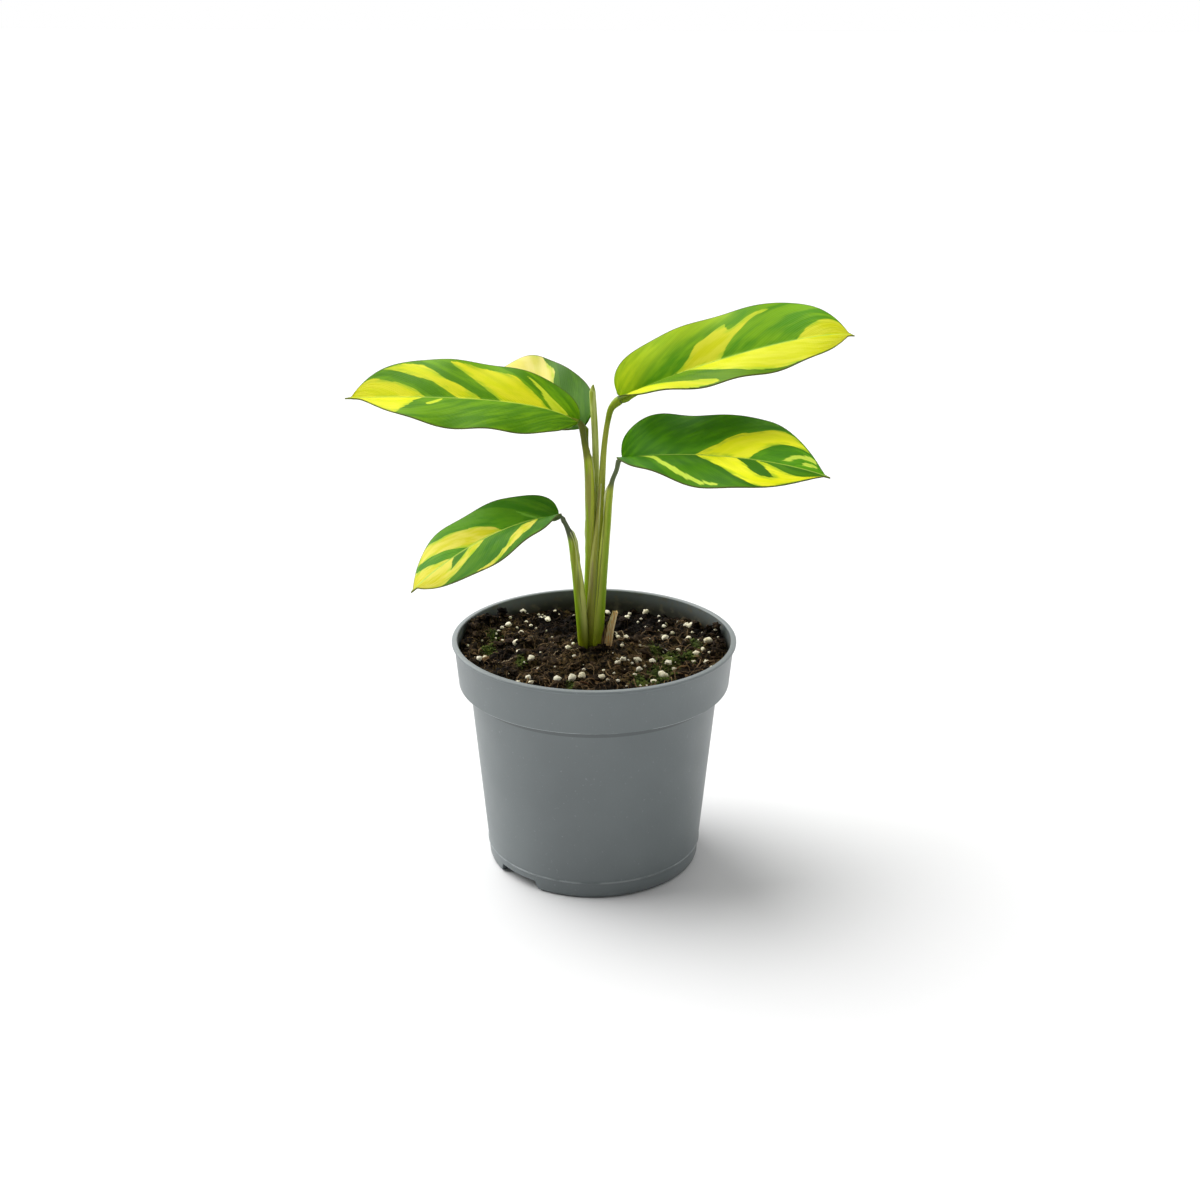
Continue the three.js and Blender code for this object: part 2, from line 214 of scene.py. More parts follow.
def seeded(seed):  # 0 to 1, the same on every run
    value = sin(seed * 127.1 + 311.7) * 43758.5453
    return value - math.floor(value)


def rough(point, size, seed=0.0):  # smooth 3D noise, about -1 to 1, for a place in mm
    return noise.noise(Vector(point) / size + Vector((seed, seed * 1.7, -seed)))


# camera, floor and light

camera = {"place": (2.45, -632.0, 348.0), "pitchDown": 20.15, "roll": 0.2, "focal": 48.15, "sensor": 36.0,
          "pixels": 1200}

cameraData = bpy.data.cameras.new("camera")
cameraData.lens = camera["focal"]
cameraData.sensor_width = camera["sensor"]
cameraObject = bpy.data.objects.new("camera", cameraData)
bpy.context.scene.collection.objects.link(cameraObject)
cameraObject.matrix_world = (Matrix.Translation(Vector(camera["place"]) * mm)
                             @ Matrix.Rotation(radians(90 - camera["pitchDown"]), 4, "X")
                             @ Matrix.Rotation(radians(camera["roll"]), 4, "Z"))
bpy.context.scene.camera = cameraObject

studio = {"floorColour": "#e7e7e7", "floorSize": 60.0, "behind": 0.88, "front": 0.06, "backdrop": 1.0,
          "key": {"from": (-0.62, 0.35, 0.78), "spread": 64.0, "power": 3.7},
          "fill": {"from": (0.85, -0.45, 0.12), "spread": 60.0, "power": 0.2}}

deselectAll()
bpy.ops.mesh.primitive_plane_add(size=studio["floorSize"])
floor = bpy.context.object
floor.name = "floor"
# Matt white card: even, nearly no gloss
newMaterial("matt white card")
floor.data.materials.append(finishMaterial(studio["floorColour"], 0.9, specular=0.1))

# a light tent: bright behind and at the sides, dimmer on the near side, white where it is seen itself
making["owner"] = world = bpy.data.worlds.new("studio")
world.use_nodes = True
northSouth = axisOf((addNode("TexCoord"), "Generated"), "Y")
tentLight = ramp(northSouth, -0.95, 0.35, studio["front"], studio["behind"])
seen = times((addNode("LightPath"), "Is Camera Ray"), studio["backdrop"])
fill(world.node_tree.nodes["Background"], {"Strength": calc("MAXIMUM", seen, tentLight), "Color": "#ffffff"})
bpy.context.scene.world = world
bpy.context.scene.view_settings.view_transform = "Standard"

for lampName in ("key", "fill"):
    lamp = studio[lampName]
    lampData = bpy.data.lights.new(lampName, "SUN")
    lampData.angle = radians(lamp["spread"])
    lampData.energy = lamp["power"]
    lampObject = bpy.data.objects.new(lampName, lampData)
    bpy.context.scene.collection.objects.link(lampObject)
    lampObject.rotation_euler = (-Vector(lamp["from"])).to_track_quat("-Z", "Y").to_euler()
print("camera and light done")


# the pot

pot = {"height": 100.0, "lipRadius": 60.0, "lipHeight": 1.6, "bandTopRadius": 59.0, "bandLowRadius": 57.4,
       "bandLowHeight": 80.5, "shoulderRadius": 52.8, "footRadius": 45.5, "ridgeHeight": 7.5, "wall": 1.3,
       "ringHeight": 4.7, "ringWidth": 3.2, "floorTop": 6.1, "holeRadius": 4.0, "holeCircle": 30.0, "holes": 6,
       "notchWidth": 24.0, "notchAngles": (-135, 45), "sides": 192, "holeSides": 40, "cutDepth": 6}


def potWall(height):  # outside radius of the plain wall
    return pot["footRadius"] + (pot["shoulderRadius"] - pot["footRadius"]) * height / pot["bandLowHeight"]


def potProfile():  # radius and height from the middle of the underside, out and over the lip, to the floor
    foot, wall, deck, low = pot["footRadius"], pot["wall"], pot["floorTop"], pot["bandLowHeight"]
    top, ridge, lip, bandTop = pot["height"], pot["ridgeHeight"], pot["lipRadius"], pot["bandTopRadius"]
    band, shoulder, lipLow = pot["bandLowRadius"], pot["shoulderRadius"], top - pot["lipHeight"]
    under, inner, ledge = deck - wall, foot - pot["ringWidth"], low + wall
    return [(0, under), (inner - 0.6, under), (inner, under - 0.6), (inner, 0.3), (inner + 0.3, 0), (foot - 1.6, 0),
            (foot - 0.8, 0.25), (potWall(0.9) - 0.25, 0.75), (potWall(1.6), 1.6),
            (potWall(ridge - 0.55), ridge - 0.55), (potWall(ridge) + 0.28, ridge - 0.2),
            (potWall(ridge) + 0.28, ridge + 0.15), (potWall(ridge + 0.5), ridge + 0.5),
            (potWall(low - 1.2), low - 1.2), (potWall(low) + 0.35, low - 0.3), (potWall(low) + 1.0, low),
            (band - 0.7, low), (band - 0.2, low + 0.2), (band, low + 0.8), (bandTop - 0.1, lipLow - 0.4),
            (bandTop + 0.15, lipLow - 0.05), (lip - 0.25, lipLow + 0.2), (lip, lipLow + 0.6), (lip, top - 0.55),
            (lip - 0.25, top - 0.15), (lip - 0.7, top), (bandTop - wall + 0.3, top), (bandTop - wall, top - 0.35),
            (band - wall, ledge + 0.5), (band - wall - 0.5, ledge), (shoulder - wall + 0.4, ledge),
            (shoulder - wall, ledge - 0.5), (potWall(deck) - wall, deck + 1), (potWall(deck) - wall - 1, deck),
            (0, deck)]


def makePot():
    deselectAll()
    points = potProfile()
    bpy.ops.mesh.primitive_circle_add(vertices=pot["sides"], radius=points[1][0] * mm,
                                      location=(0, 0, points[1][1] * mm))
    piece = bpy.context.object
    bpy.ops.object.transform_apply(location=True, rotation=True, scale=True)
    setMode("EDIT")
    bpy.ops.mesh.select_all(action="SELECT")
    for (radius, height), (newRadius, newHeight) in zip(points[1:-2], points[2:-1]):
        bpy.ops.mesh.extrude_edges_move(TRANSFORM_OT_translate={"value": (0, 0, (newHeight - height) * mm)})
        bpy.ops.transform.resize(value=(newRadius / radius, newRadius / radius, 1),
                                 center_override=(0, 0, newHeight * mm))
    bpy.ops.mesh.fill()  # the inside floor
    bpy.ops.mesh.select_all(action="DESELECT")
    setMode("OBJECT")
    under = points[1][1] * mm
    for edge in piece.data.edges:
        ends = [piece.data.vertices[i].co for i in edge.vertices]
        edge.select = all(abs(end.z - under) < 1e-6 and abs(end.to_2d().length - points[1][0] * mm) < 1e-5
                          for end in ends)
    setMode("EDIT")
    bpy.ops.mesh.select_mode(type="EDGE")
    bpy.ops.mesh.fill()  # the underside
    facesOutward()
    cutters = []
    for index in range(pot["holes"]):
        angle = 2 * pi * (index + 0.5) / pot["holes"]
        place = Vector((pot["holeCircle"] * cos(angle), pot["holeCircle"] * sin(angle), pot["floorTop"])) * mm
        bpy.ops.mesh.primitive_cylinder_add(vertices=pot["holeSides"], radius=pot["holeRadius"] * mm,
                                            depth=pot["cutDepth"] * mm, location=place)
        cutters.append(bpy.context.object)
    for degrees in pot["notchAngles"]:
        bpy.ops.mesh.primitive_cube_add(size=2)
        cutter = bpy.context.object
        for vertex in cutter.data.vertices:
            x, y, z = vertex.co
            half = pot["notchWidth"] / 2 - (2 if z > 0 else 0)
            vertex.co = Vector((pot["footRadius"] + x * 4.5 - 1.5, y * half,
                                pot["ringHeight"] - 0.2 if z > 0 else -1)) * mm
        cutter.rotation_euler.z = radians(degrees)
        cutters.append(cutter)
    for cutter in cutters:
        applyModifier(piece, "BOOLEAN", object=cutter, operation="DIFFERENCE", solver="EXACT")
        bpy.data.objects.remove(cutter)
    applyModifier(piece, "TRIANGULATE")
    piece.name = "nursery_pot"
    finish(piece, "pot", 32, pottedPlastic())


potMarks = {"bandLean": -0.089, "inside": (0.0497, 0.0494), "above": (0.082, 0.09), "darkerDeeperFrom": (0.1, 0.0925),
            "rubbedAndLitEdges": ((0.0801, 0.0809, 0.78), (0.0072, 0.0079, 0.42)), "lip": (0.0993, 0.0998),
            "underBandShadeAt": 0.0786, "underBandShadeHalf": 0.0016}  # heights and radii in metres


def pottedPlastic():
    # Recycled polypropylene, injection moulded: grey with a soft gloss, fine mottling from the melt, faint
    # scuffs, lighter edges that are partly painted highlight, painted shade under the band, and darker deeper inside
    # the rim, with dried splashes there
    newMaterial("moulded grey polypropylene")
    place = objectPlace()
    speck = cloudy(place, 900.0)
    height = axisOf(place, "Z")
    flat = addNode("VectorMath", {"operation": "MULTIPLY"}, {0: place, 1: (1.0, 1.0, 0.0)}), "Vector"
    radius = addNode("VectorMath", {"operation": "LENGTH"}, {0: flat}), "Value"
    # the wall leans out over the band, and the inside is what lies within its middle
    inside = ramp(calc("MULTIPLY_ADD", height, potMarks["bandLean"], radius), *potMarks["inside"])
    within = times(inside, ramp(height, *potMarks["above"]))
    # darker deeper inside the rim, towards the soil
    darkerDeeperInside = times(within, ramp(height, *potMarks["darkerDeeperFrom"]))
    dust = times(ramp(cloudy(place, 260.0, 6.0), 0.5, 0.78), within)
    layers = [(ramp(speck, 0.67, 0.76), "#7f8687"), (darkerDeeperInside, "#35352d"), (dust, "#6b6656")]
    # lighter lines at the lower edge of the band and the ridge above the foot, broken up: partly rubbed wear, partly
    # painted highlight
    worn = ramp(cloudy(place, 120.0, 5.0), 0.36, 0.58)
    for low, high, share in potMarks["rubbedAndLitEdges"]:
        line = calc("COMPARE", height, (low + high) / 2, (high - low) / 2)
        layers.append((times(times(line, worn), share), "#adb3b4"))
    # the top of the lip, lighter all round: a painted highlight
    layers.append((times(ramp(height, *potMarks["lip"]), 0.45), "#9aa0a1"))
    # painted shade under the band: a darker line on the wall just below it
    paintedShadeUnderBand = calc("COMPARE", height, potMarks["underBandShadeAt"], potMarks["underBandShadeHalf"])
    layers.append((times(paintedShadeUnderBand, 0.55), "#4a5050"))
    tone = layered(mixColour(cloudy(place, 22.0, 4.0), "#646b6d", "#767e7f"), *layers)
    gloss = spanned(cloudy(place, 70.0, 5.0), 0.36, 0.52)
    return finishMaterial(tone, gloss, speck, 0.12, 0.0002)


makePot()
print("pot done")


# the leaves

leaves = {
    "leaf_upper_left": {
        "midrib": ((-6.5, 2, 192), (-22, 5, 203), (-76, 10, 200.5), (-102.5, 13, 199)),
        "left": {"width": 20, "widest": 0.58, "base": 0.56, "tip": 1.4, "tilt": (-29, 2), "ends": 0.96},
        "right": {"width": 21.5, "widest": 0.7, "base": 0.62, "tip": 0.86, "tilt": (46, 42), "ends": 0.97},
        "halfShade": (0.92, 1), "foot": "#66741a", "wave": (0.9, 3.5), "green": ("#528900", "#70a402"),
        "gold": ("#d6dc00", "#e0e020"), "lime colours": ("#c0d61c", "#cbdc30", 0.3),
        # patches of tissue: per cent of the length, and of the half width from -100 (left) to 100 (right)
        "golden": [
            [(65.5, 0), (70, 19), (75, 33), (80, 45), (85, 62), (88, 80), (92, 93), (100, 95), (100, 0)],
            [(85, 95), (80, 80), (75, 63), (70, 50), (65, 41), (60, 23), (56, 6), (54, 0), (45, 0), (50, 18),
             (55, 34), (60, 47), (65, 69), (70, 85), (75.5, 93), (80, 96)],
            [(60, 93), (55, 92), (50, 86), (45, 83), (40, 80), (35, 76), (30, 56), (25, 35), (20, 10), (16.5, 0),
             (38.5, 0), (40, 6), (45, 30), (50, 50), (55, 70), (58, 84)],
            [(67, 0), (70, -20), (71, -45), (73, -70), (75, -100), (100, -100), (100, 0)]],
        "lime": [
            [(31, 84), (28, 78), (25, 69), (20, 48), (15, 35), (10, 20), (6.5, 0), (16, 0), (18, 12), (20, 24),
             (25, 57), (28, 70)],
            [(60, -6), (61, -10), (65, -30), (64, -36), (60, -15)]]},
    "leaf_upper_right": {
        "thickFoot": 0.95, "midrib": ((10.5, 8, 200), (20.5, 6, 208.5), (86.5, 1, 232), (102.5, -3, 228.5)),
        "left": {"width": 23, "widest": 0.66, "base": 0.36, "tip": 1.3, "tilt": (66, 35), "ends": 0.972},
        "right": {"width": 21.5, "widest": 0.38, "base": 0.58, "tip": 0.8, "tilt": (23, -35), "ends": 0.96},
        "halfShade": (1, 0.62), "foot": "#86a02c", "wave": (0.8, 4), "green": ("#528f00", "#76a802"),
        "gold": ("#c9cd04", "#d2d42c"), "lime colours": ("#a2c408", "#b8d214", 8.0),
        "golden": [
            [(29.5, 0), (33.5, -14), (36, -25), (40, -48), (45, -61), (48, -70), (50, -76), (50.5, -60),
             (52.5, -62), (55, -70), (60, -83), (64.5, -87), (64, -82), (60, -74), (55, -53), (52, -40),
             (50, -27), (47.5, -8), (45.5, 0)],
            [(71.5, 0), (75, -20), (78, -38), (80, -48), (85, -70), (90, -93), (100, -100), (100, 0)],
            [(34, 0), (40, 26), (45, 48), (50, 65), (55, 80), (60, 87), (70, 95), (78, 100), (100, 100), (100, 0)],
            [(17, 20), (20, 30), (25, 50), (30, 62), (35, 69), (40, 72), (45, 84), (46, 95), (30, 100),
             (10, 100), (12, 40)]],
        "lime": [
            [(0, 0), (10, 0), (15, -30), (20, -50), (30, -70), (42, -86), (50, -100), (0, -100)]]},
    "leaf_lower_right": {
        "midrib": ((11, 0, 177), (22.5, -6, 182), (63, -30, 189), (90, -44, 182)),
        "left": {"width": 22, "widest": 0.66, "base": 0.3, "tip": 1.35, "tilt": (66, 24),
                 "ripple": (0.07, 2.4, -1.45)},
        "right": {"width": 21.5, "widest": 0.5, "base": 0.62, "tip": 1.12, "tilt": (24, -37)},
        "halfShade": (1, 0.7), "foot": "#566c38", "wave": (0.9, 3), "green": ("#438404", "#5a9c04"),
        "gold": ("#eaee0a", "#f2f228"), "lime colours": ("#b0d028", "#c8e04a", 0.3),
        "golden": [
            [(44, 0), (47, -10), (52.5, -28), (55, -41), (58.5, -53), (62, -60), (67, -73), (70, -82),
             (74.5, -92), (80, -96), (87, -95), (85.5, -88), (81, -72), (76, -55), (72.5, -42), (70.5, -31),
             (68.5, -16), (66.5, 0)],
            [(44, 0), (47, 10), (53, 25), (59.5, 42), (64.5, 60), (69, 73), (75, 93), (79, 98), (90, 94),
             (100, 90), (90, 66), (84, 45), (78.5, 22), (73, 6), (69, 0), (73, 20), (76.5, 38), (79.8, 66),
             (74.5, 57), (70, 40), (66, 20), (60.8, 0)]],
        "lime": [
            [(78, -5), (79, -15), (81.2, -36), (84.5, -58), (87.8, -79), (90.5, -93), (92, -80), (88.5, -60),
             (85, -45), (82, -20)],
            [(86.5, -20), (87.5, -40), (90, -55), (93, -70), (93, -50), (90, -30)],
            [(17, 10), (25, 14), (30, 32), (35, 50), (40, 60), (46, 71), (50, 78), (56, 85), (62, 90), (62, 93),
             (56, 92), (50, 88), (44, 82), (39, 74), (34, 62), (30, 46), (25, 33), (20, 22)]]},
    "leaf_lower_left": {
        "midrib": ((-14, -6, 154.5), (-26.5, -11.5, 157), (-50.5, -34, 154), (-71, -48, 136.5)),
        "left": {"width": 17.5, "widest": 0.53, "base": 0.6, "tip": 0.6, "tilt": (33, -19), "ends": 0.965},
        "right": {"width": 17.5, "widest": 0.66, "base": 0.28, "tip": 1, "tilt": (42, 5)},
        "halfShade": (0.78, 1), "foot": "#4c6234", "wave": (0.6, 3), "green": ("#428208", "#5c9612"),
        "gold": ("#cfca20", "#dcd450"), "lime colours": ("#62a024", "#78b434", 0.4),
        "golden": [
            [(45, 0), (47.5, 18), (51, 31), (54.3, 48), (58, 54), (63, 66), (68, 76), (72, 80), (76, 95),
             (80, 100), (88.5, 100), (87, 90), (84.6, 74), (81.6, 59), (78, 45), (74, 34), (71.8, 25),
             (68.5, 10), (65.5, 0)],
            [(74.5, 0), (77, 5), (83, 22), (86.2, 46), (89.5, 70), (92, 100), (100, 100), (100, 0)],
            [(55.5, 0), (62, -20), (66.7, -28), (71.5, -38), (76.4, -53), (79.3, -62), (84.2, -75), (88, -92),
             (90, -100), (100, -100), (100, 0), (74, 0), (77.5, -17), (81, -42), (78.5, -35), (74.5, -26),
             (69.7, -14), (65, 0)],
            [(22, -5), (27, -20), (35, -23), (42.7, -45), (48.7, -57), (54.2, -72), (59, -80), (64, -87),
             (69.5, -92), (74.5, -97), (70, -100), (65.2, -98), (62, -93), (57.5, -87), (50.3, -82), (44, -73),
             (37, -68), (30, -50), (25, -35)]],
        "lime": [[(17, 5), (22, 14), (27, 30), (31, 50), (30, 40), (26, 15), (21, 3)]]},
    "leaf_back": {
        "midrib": ((-4.5, 8, 188.5), (-17, 26, 191.5), (-42, 46, 195.5), (-50.5, 60, 194)),
        "left": {"width": 16.5, "widest": 0.54, "base": 0.6, "tip": 1, "tilt": (-12, -16)},
        "right": {"width": 21.5, "widest": 0.6, "base": 0.38, "tip": 1.05, "tilt": (58, 53)},
        "halfShade": (1, 1), "foot": "#6a8a34", "wave": (0.8, 3), "green": ("#3a6802", "#487604"),
        # the pale cream of its golden and lime tissue is partly the tissue's colour, partly painted sheen from light
        # glancing off the blade
        "gold": ("#dace5e", "#e0d576"), "lime colours": ("#8fae4a", "#a9c468", 1.5),
        "golden": [
            [(61, 100), (52.5, 88), (47.7, 86), (43.8, 80), (40, 60), (36, 40), (34, 20), (32, 0), (80, 0),
             (100, 50), (100, 100)],
            [(20, -10), (30, -30), (42, -60), (50, -85), (55, -80), (47, -50), (36, -20), (30, 0)]],
        "lime": [[(60, 0), (68, -25), (80, -60), (85, -90), (95, -90), (100, 0)]]},
}
bladeSteps = (150, 60)  # along and across
bladeThickness, curlPerWidth = 0.55, 0.0075
typicalLength, typicalHalf, veinSpacing = 95, 21.0, 3.4  # mm
veinSlant = (0.24, 0.05)  # how far a side vein runs towards the tip, in shares of the length


def bezier(points, t):
    a, b, c, d = (Vector(p) for p in points)
    return a * (1 - t) ** 3 + b * 3 * (1 - t) ** 2 * t + c * 3 * (1 - t) * t * t + d * t ** 3


def bezierHeading(points, t):
    a, b, c, d = (Vector(p) for p in points)
    return ((b - a) * (1 - t) ** 2 + (c - b) * 2 * (1 - t) * t + (d - c) * t * t).normalized()


def ribFrame(leaf, share):  # level with the soil and upward, both square to the midrib
    heading = bezierHeading(leaf["midrib"], share)
    level = heading.cross(Vector((0, 0, 1))).normalized()
    return level, level.cross(heading)


def halfTilts(leaf, share):  # how far each half is folded up, left and right
    return [radians(low + (high - low) * share) for low, high in (leaf["left"]["tilt"], leaf["right"]["tilt"])]


def veinShare(share, across):  # where the side vein through a place leaves the midrib
    return share - veinSlant[0] * abs(across) - veinSlant[1] * across * across


def halfWidth(half, share):
    # half as wide as the leaf at a share of its length, and wavy where the half has a ripple
    amount, count, phase = half.get("ripple", (0, 0, 0))
    width = half["width"] * (1 + amount * sin(2 * pi * count * share + phase))
    if share < half["widest"]:
        return width * max(0, 1 - (1 - share / half["widest"]) ** 2) ** half["base"]
    ends = half.get("ends", 0.985)
    body = max(0, 1 - ((share - half["widest"]) / (ends - half["widest"])) ** 2) ** half["tip"]
    return width * max(body, 1.3 * (1 - share))  # the blade ends in a short drawn-out tip


def leafPoint(leaf, share, across):  # a place on the upper face, in mm
    level, upward = ribFrame(leaf, share)
    side = 1 if across > 0 else -1
    width = halfWidth(leaf["right" if side > 0 else "left"], share) * abs(across)
    tilts = halfTilts(leaf, share)
    blend = min(1, max(0, 0.5 + side * width / 3))
    blend = blend * blend * (3 - 2 * blend)
    tilt = tilts[0] * (1 - blend) + tilts[1] * blend
    rise = sqrt(width * width + 0.36) - 0.6  # the fold is a soft crease, not a sharp one
    wave = leaf["wave"][0] * across ** 2 * sin(2 * pi * leaf["wave"][1] * share + side) * sin(pi * share)
    vein = veinShare(share, across)
    ridges = 2 * pi * vein * typicalLength / veinSpacing + 0.6 * rough((vein * 90, across * 9, side), 6)
    corrugation = 0.06 * sin(ridges)
    corrugation *= min(1, width / 3) * (1 - abs(across) ** 4)
    groove = -0.3 * exp(-(width / 0.55) ** 2) * (1 - share)
    normal = upward * cos(tilt) - level * side * sin(tilt)
    lift = wave + corrugation + groove - curlPerWidth * width * width
    return (bezier(leaf["midrib"], share) + level * side * width * cos(tilt)
            + upward * rise * sin(tilt) + normal * lift)


def insideDistance(places, outline):
    # signed distance from an outline, positive inside; places and outline are in mm on the flat leaf
    ends = np.roll(outline, -1, axis=0)
    distance = np.full(len(places), 1e9)
    inside = np.zeros(len(places), bool)
    for start, end in zip(outline, ends):
        edge = end - start
        share = np.clip(((places - start) @ edge) / max(edge @ edge, 1e-9), 0, 1)
        distance = np.minimum(distance, np.linalg.norm(places - start - share[:, None] * edge, axis=1))
        crosses = (start[1] > places[:, 1]) != (end[1] > places[:, 1])
        rise = end[1] - start[1]
        reach = start[0] + (places[:, 1] - start[1]) * edge[0] / (rise if abs(rise) > 1e-9 else 1e-9)
        inside ^= crosses & (places[:, 0] < reach)
    return np.where(inside, distance, -distance)


def makeLeaf(name, leaf):
    blade = gridPiece(*bladeSteps)
    mesh = blade.data
    flat = []
    for vertex in mesh.vertices:
        share = 0.003 + 0.994 * (0.5 - 0.5 * cos(pi * (vertex.co.x + 1) / 2))
        side = -vertex.co.y * (1.35 - 0.35 * abs(vertex.co.y))
        flat.append((share, side))
        vertex.co = leafPoint(leaf, share, side) * mm
    shares = np.array(flat)
    middle = mesh.polygons[len(mesh.polygons) // 2]
    if middle.normal.z < 0:
        setMode("EDIT")
        bpy.ops.mesh.select_all(action="SELECT")
        bpy.ops.mesh.flip_normals()
        setMode("OBJECT")
    length = sum((bezier(leaf["midrib"], (i + 1) / 40) - bezier(leaf["midrib"], i / 40)).length for i in range(40))
    scale = np.array([length, typicalHalf])
    for patch in ("golden", "lime"):
        field = np.full(len(shares), -50.0)
        for outline in leaf[patch]:
            field = np.maximum(field, insideDistance(shares * scale, np.array(outline) / 100 * scale))
        store(mesh, patch, field)
    across = shares[:, 1]
    widths = np.array([halfWidth(leaf["right" if side > 0 else "left"], share) for share, side in flat])
    store(mesh, "veinPlace", np.stack([veinShare(shares[:, 0], across) * length, across * typicalHalf,
                                       np.where(across > 0, 7.0, -7.0)], axis=1))  # the last tells the halves apart
    atFoot = 2.5 * np.clip(1 - shares[:, 0] / 0.045, 0, 1)  # the dark edge fades at the foot of the blade
    store(mesh, "fromEdge", (1 - abs(across)) * widths + atFoot)
    store(mesh, "fromMidrib", abs(across) * widths)
    materials = bladeMaterials(name, leaf)
    addMaterials(blade, materials)
    applyModifier(blade, "SOLIDIFY", thickness=bladeThickness * mm, offset=-1, material_offset=1)
    keel = makeKeel(leaf)
    addMaterials(keel, materials, 1)
    finish(joinPieces([blade, keel], name + "_blade"), name, 60)


keelShape = {"sides": 12, "steps": 60, "from": 0.004, "length": 0.955, "thick": 0.95, "thin": 0.16}


def makeKeel(leaf):  # the midrib that stands out under the blade, thick at the base
    deselectAll()
    bpy.ops.mesh.primitive_cylinder_add(vertices=keelShape["sides"], radius=1, depth=1, end_fill_type="NGON")
    keel = bpy.context.object
    for edge in keel.data.edges:
        ends = [keel.data.vertices[i].co.z for i in edge.vertices]
        edge.select = abs(ends[0] - ends[1]) > 0.5
    for item in list(keel.data.polygons) + list(keel.data.vertices):
        item.select = False
    setMode("EDIT")
    bpy.ops.mesh.select_mode(type="EDGE")
    bpy.ops.mesh.subdivide(number_cuts=keelShape["steps"] - 1)
    setMode("OBJECT")
    for vertex in keel.data.vertices:
        share = keelShape["from"] + keelShape["length"] * (vertex.co.z + 0.5)
        level, upward = ribFrame(leaf, share)
        tilts = halfTilts(leaf, share)
        tilt = (tilts[1] - tilts[0]) / 2
        normal = upward * cos(tilt) - level * sin(tilt)
        across = level * cos(tilt) + upward * sin(tilt)
        radius = keelShape["thick"] * (1 - share) ** 0.8 + keelShape["thin"]
        radius += leaf.get("thickFoot", 0) * exp(-share / 0.06)
        sunk = min(1, 0.12 + share / 0.055)  # it comes out of the end of the stalk
        centre = bezier(leaf["midrib"], share) - normal * (0.5 + 0.62 * radius) * sunk
        vertex.co = (centre + across * vertex.co.x * radius + normal * vertex.co.y * radius * 0.85) * mm
    return keel


def bladeMaterials(name, leaf):
    # Living leaf with a waxy skin: deep green with golden tissue between the side veins, a silky gloss that
    # the fine veins break up, and a thin brown-purple line along the edge
    made = []
    for face, strength, gloss in (("upper", 0.35, (0.3, 0.46)), ("under", 0.6, (0.5, 0.66))):
        newMaterial(f"waxy leaf {face} side, {name[5:].replace('_', ' ')}")
        vein = stored("veinPlace", "Vector")
        drawnOut = addNode("VectorMath", {"operation": "MULTIPLY"}, {0: vein, 1: (1.0, 0.2, 1.0)}), "Vector"
        streak = cloudy(drawnOut, 0.55, 3.0, 0.6)
        broad = cloudy(drawnOut, 0.13)
        mottle = cloudy(vein, 0.16, 4.0)
        bands = ramp(calc("ADD", broad, mottle), 0.85, 1.18)
        side = axisOf(vein, "Z")  # 7 right of the midrib, -7 left of it
        tone = mixColour(bands, *leaf["green"])
        # painted shade: one half of the blade is darker than the other
        tone = mixColour(1.0, tone, spanned(side, *leaf["halfShade"], -2.0, 2.0), "MULTIPLY")
        tone = mixColour(1.0, tone, spanned(streak, 0.88, 1.12), "MULTIPLY")
        jitter = calc("MULTIPLY_ADD", streak, 3.0, -1.5)
        limeLow, limeHigh, limeSoftness = leaf["lime colours"]
        for patch, softness, ragged, rim, low, high in (("lime", limeSoftness, 1.0, limeHigh, limeLow, limeHigh),
                                                        ("golden", 0.18, 0.7, "#a3c41e", *leaf["gold"])):
            field = calc("MULTIPLY_ADD", jitter, ragged, stored(patch))
            paint = mixColour(ramp(field, 0.1, 2.2), rim, low)
            paint = mixColour(ramp(mottle, 0.38, 0.6), paint, high)
            if patch == "golden":  # greenish stains in the golden tissue
                paint = mixColour(times(ramp(broad, 0.5, 0.75), 0.3), paint, "#b2bd22")
            tone = mixColour(ramp(field, -softness, softness), tone, paint)
        nearRib = times(ramp(stored("fromMidrib"), 0.55, 0.2), 0.7)
        nearEdge = times(ramp(stored("fromEdge"), 0.5, 0.12), 0.75)
        tone = layered(tone, (nearRib, "#a6c244"), (nearEdge, "#4f4a22"))
        if face == "under":
            nearFoot = ramp(axisOf(vein, "X"), 12.0, 5.0)
            tone = layered(tone, (0.42, "#87a06c"), (nearFoot, leaf["foot"]))
        # fine side veins about 1.3 mm apart
        lines = addNode("TexWave", {"wave_type": "BANDS", "bands_direction": "X"},
                        {"Vector": vein, "Scale": 0.24, "Distortion": 0.8, "Detail": 2.0, "Detail Scale": 0.6})
        ridges = calc("ADD", (lines, "Fac"), streak)
        made.append(finishMaterial(tone, spanned(streak, *gloss), ridges, strength, 0.00012, 0.09, 1.42))
    return made


for leafName, leafShape in leaves.items():
    makeLeaf(leafName, leafShape)
print("leaves done")
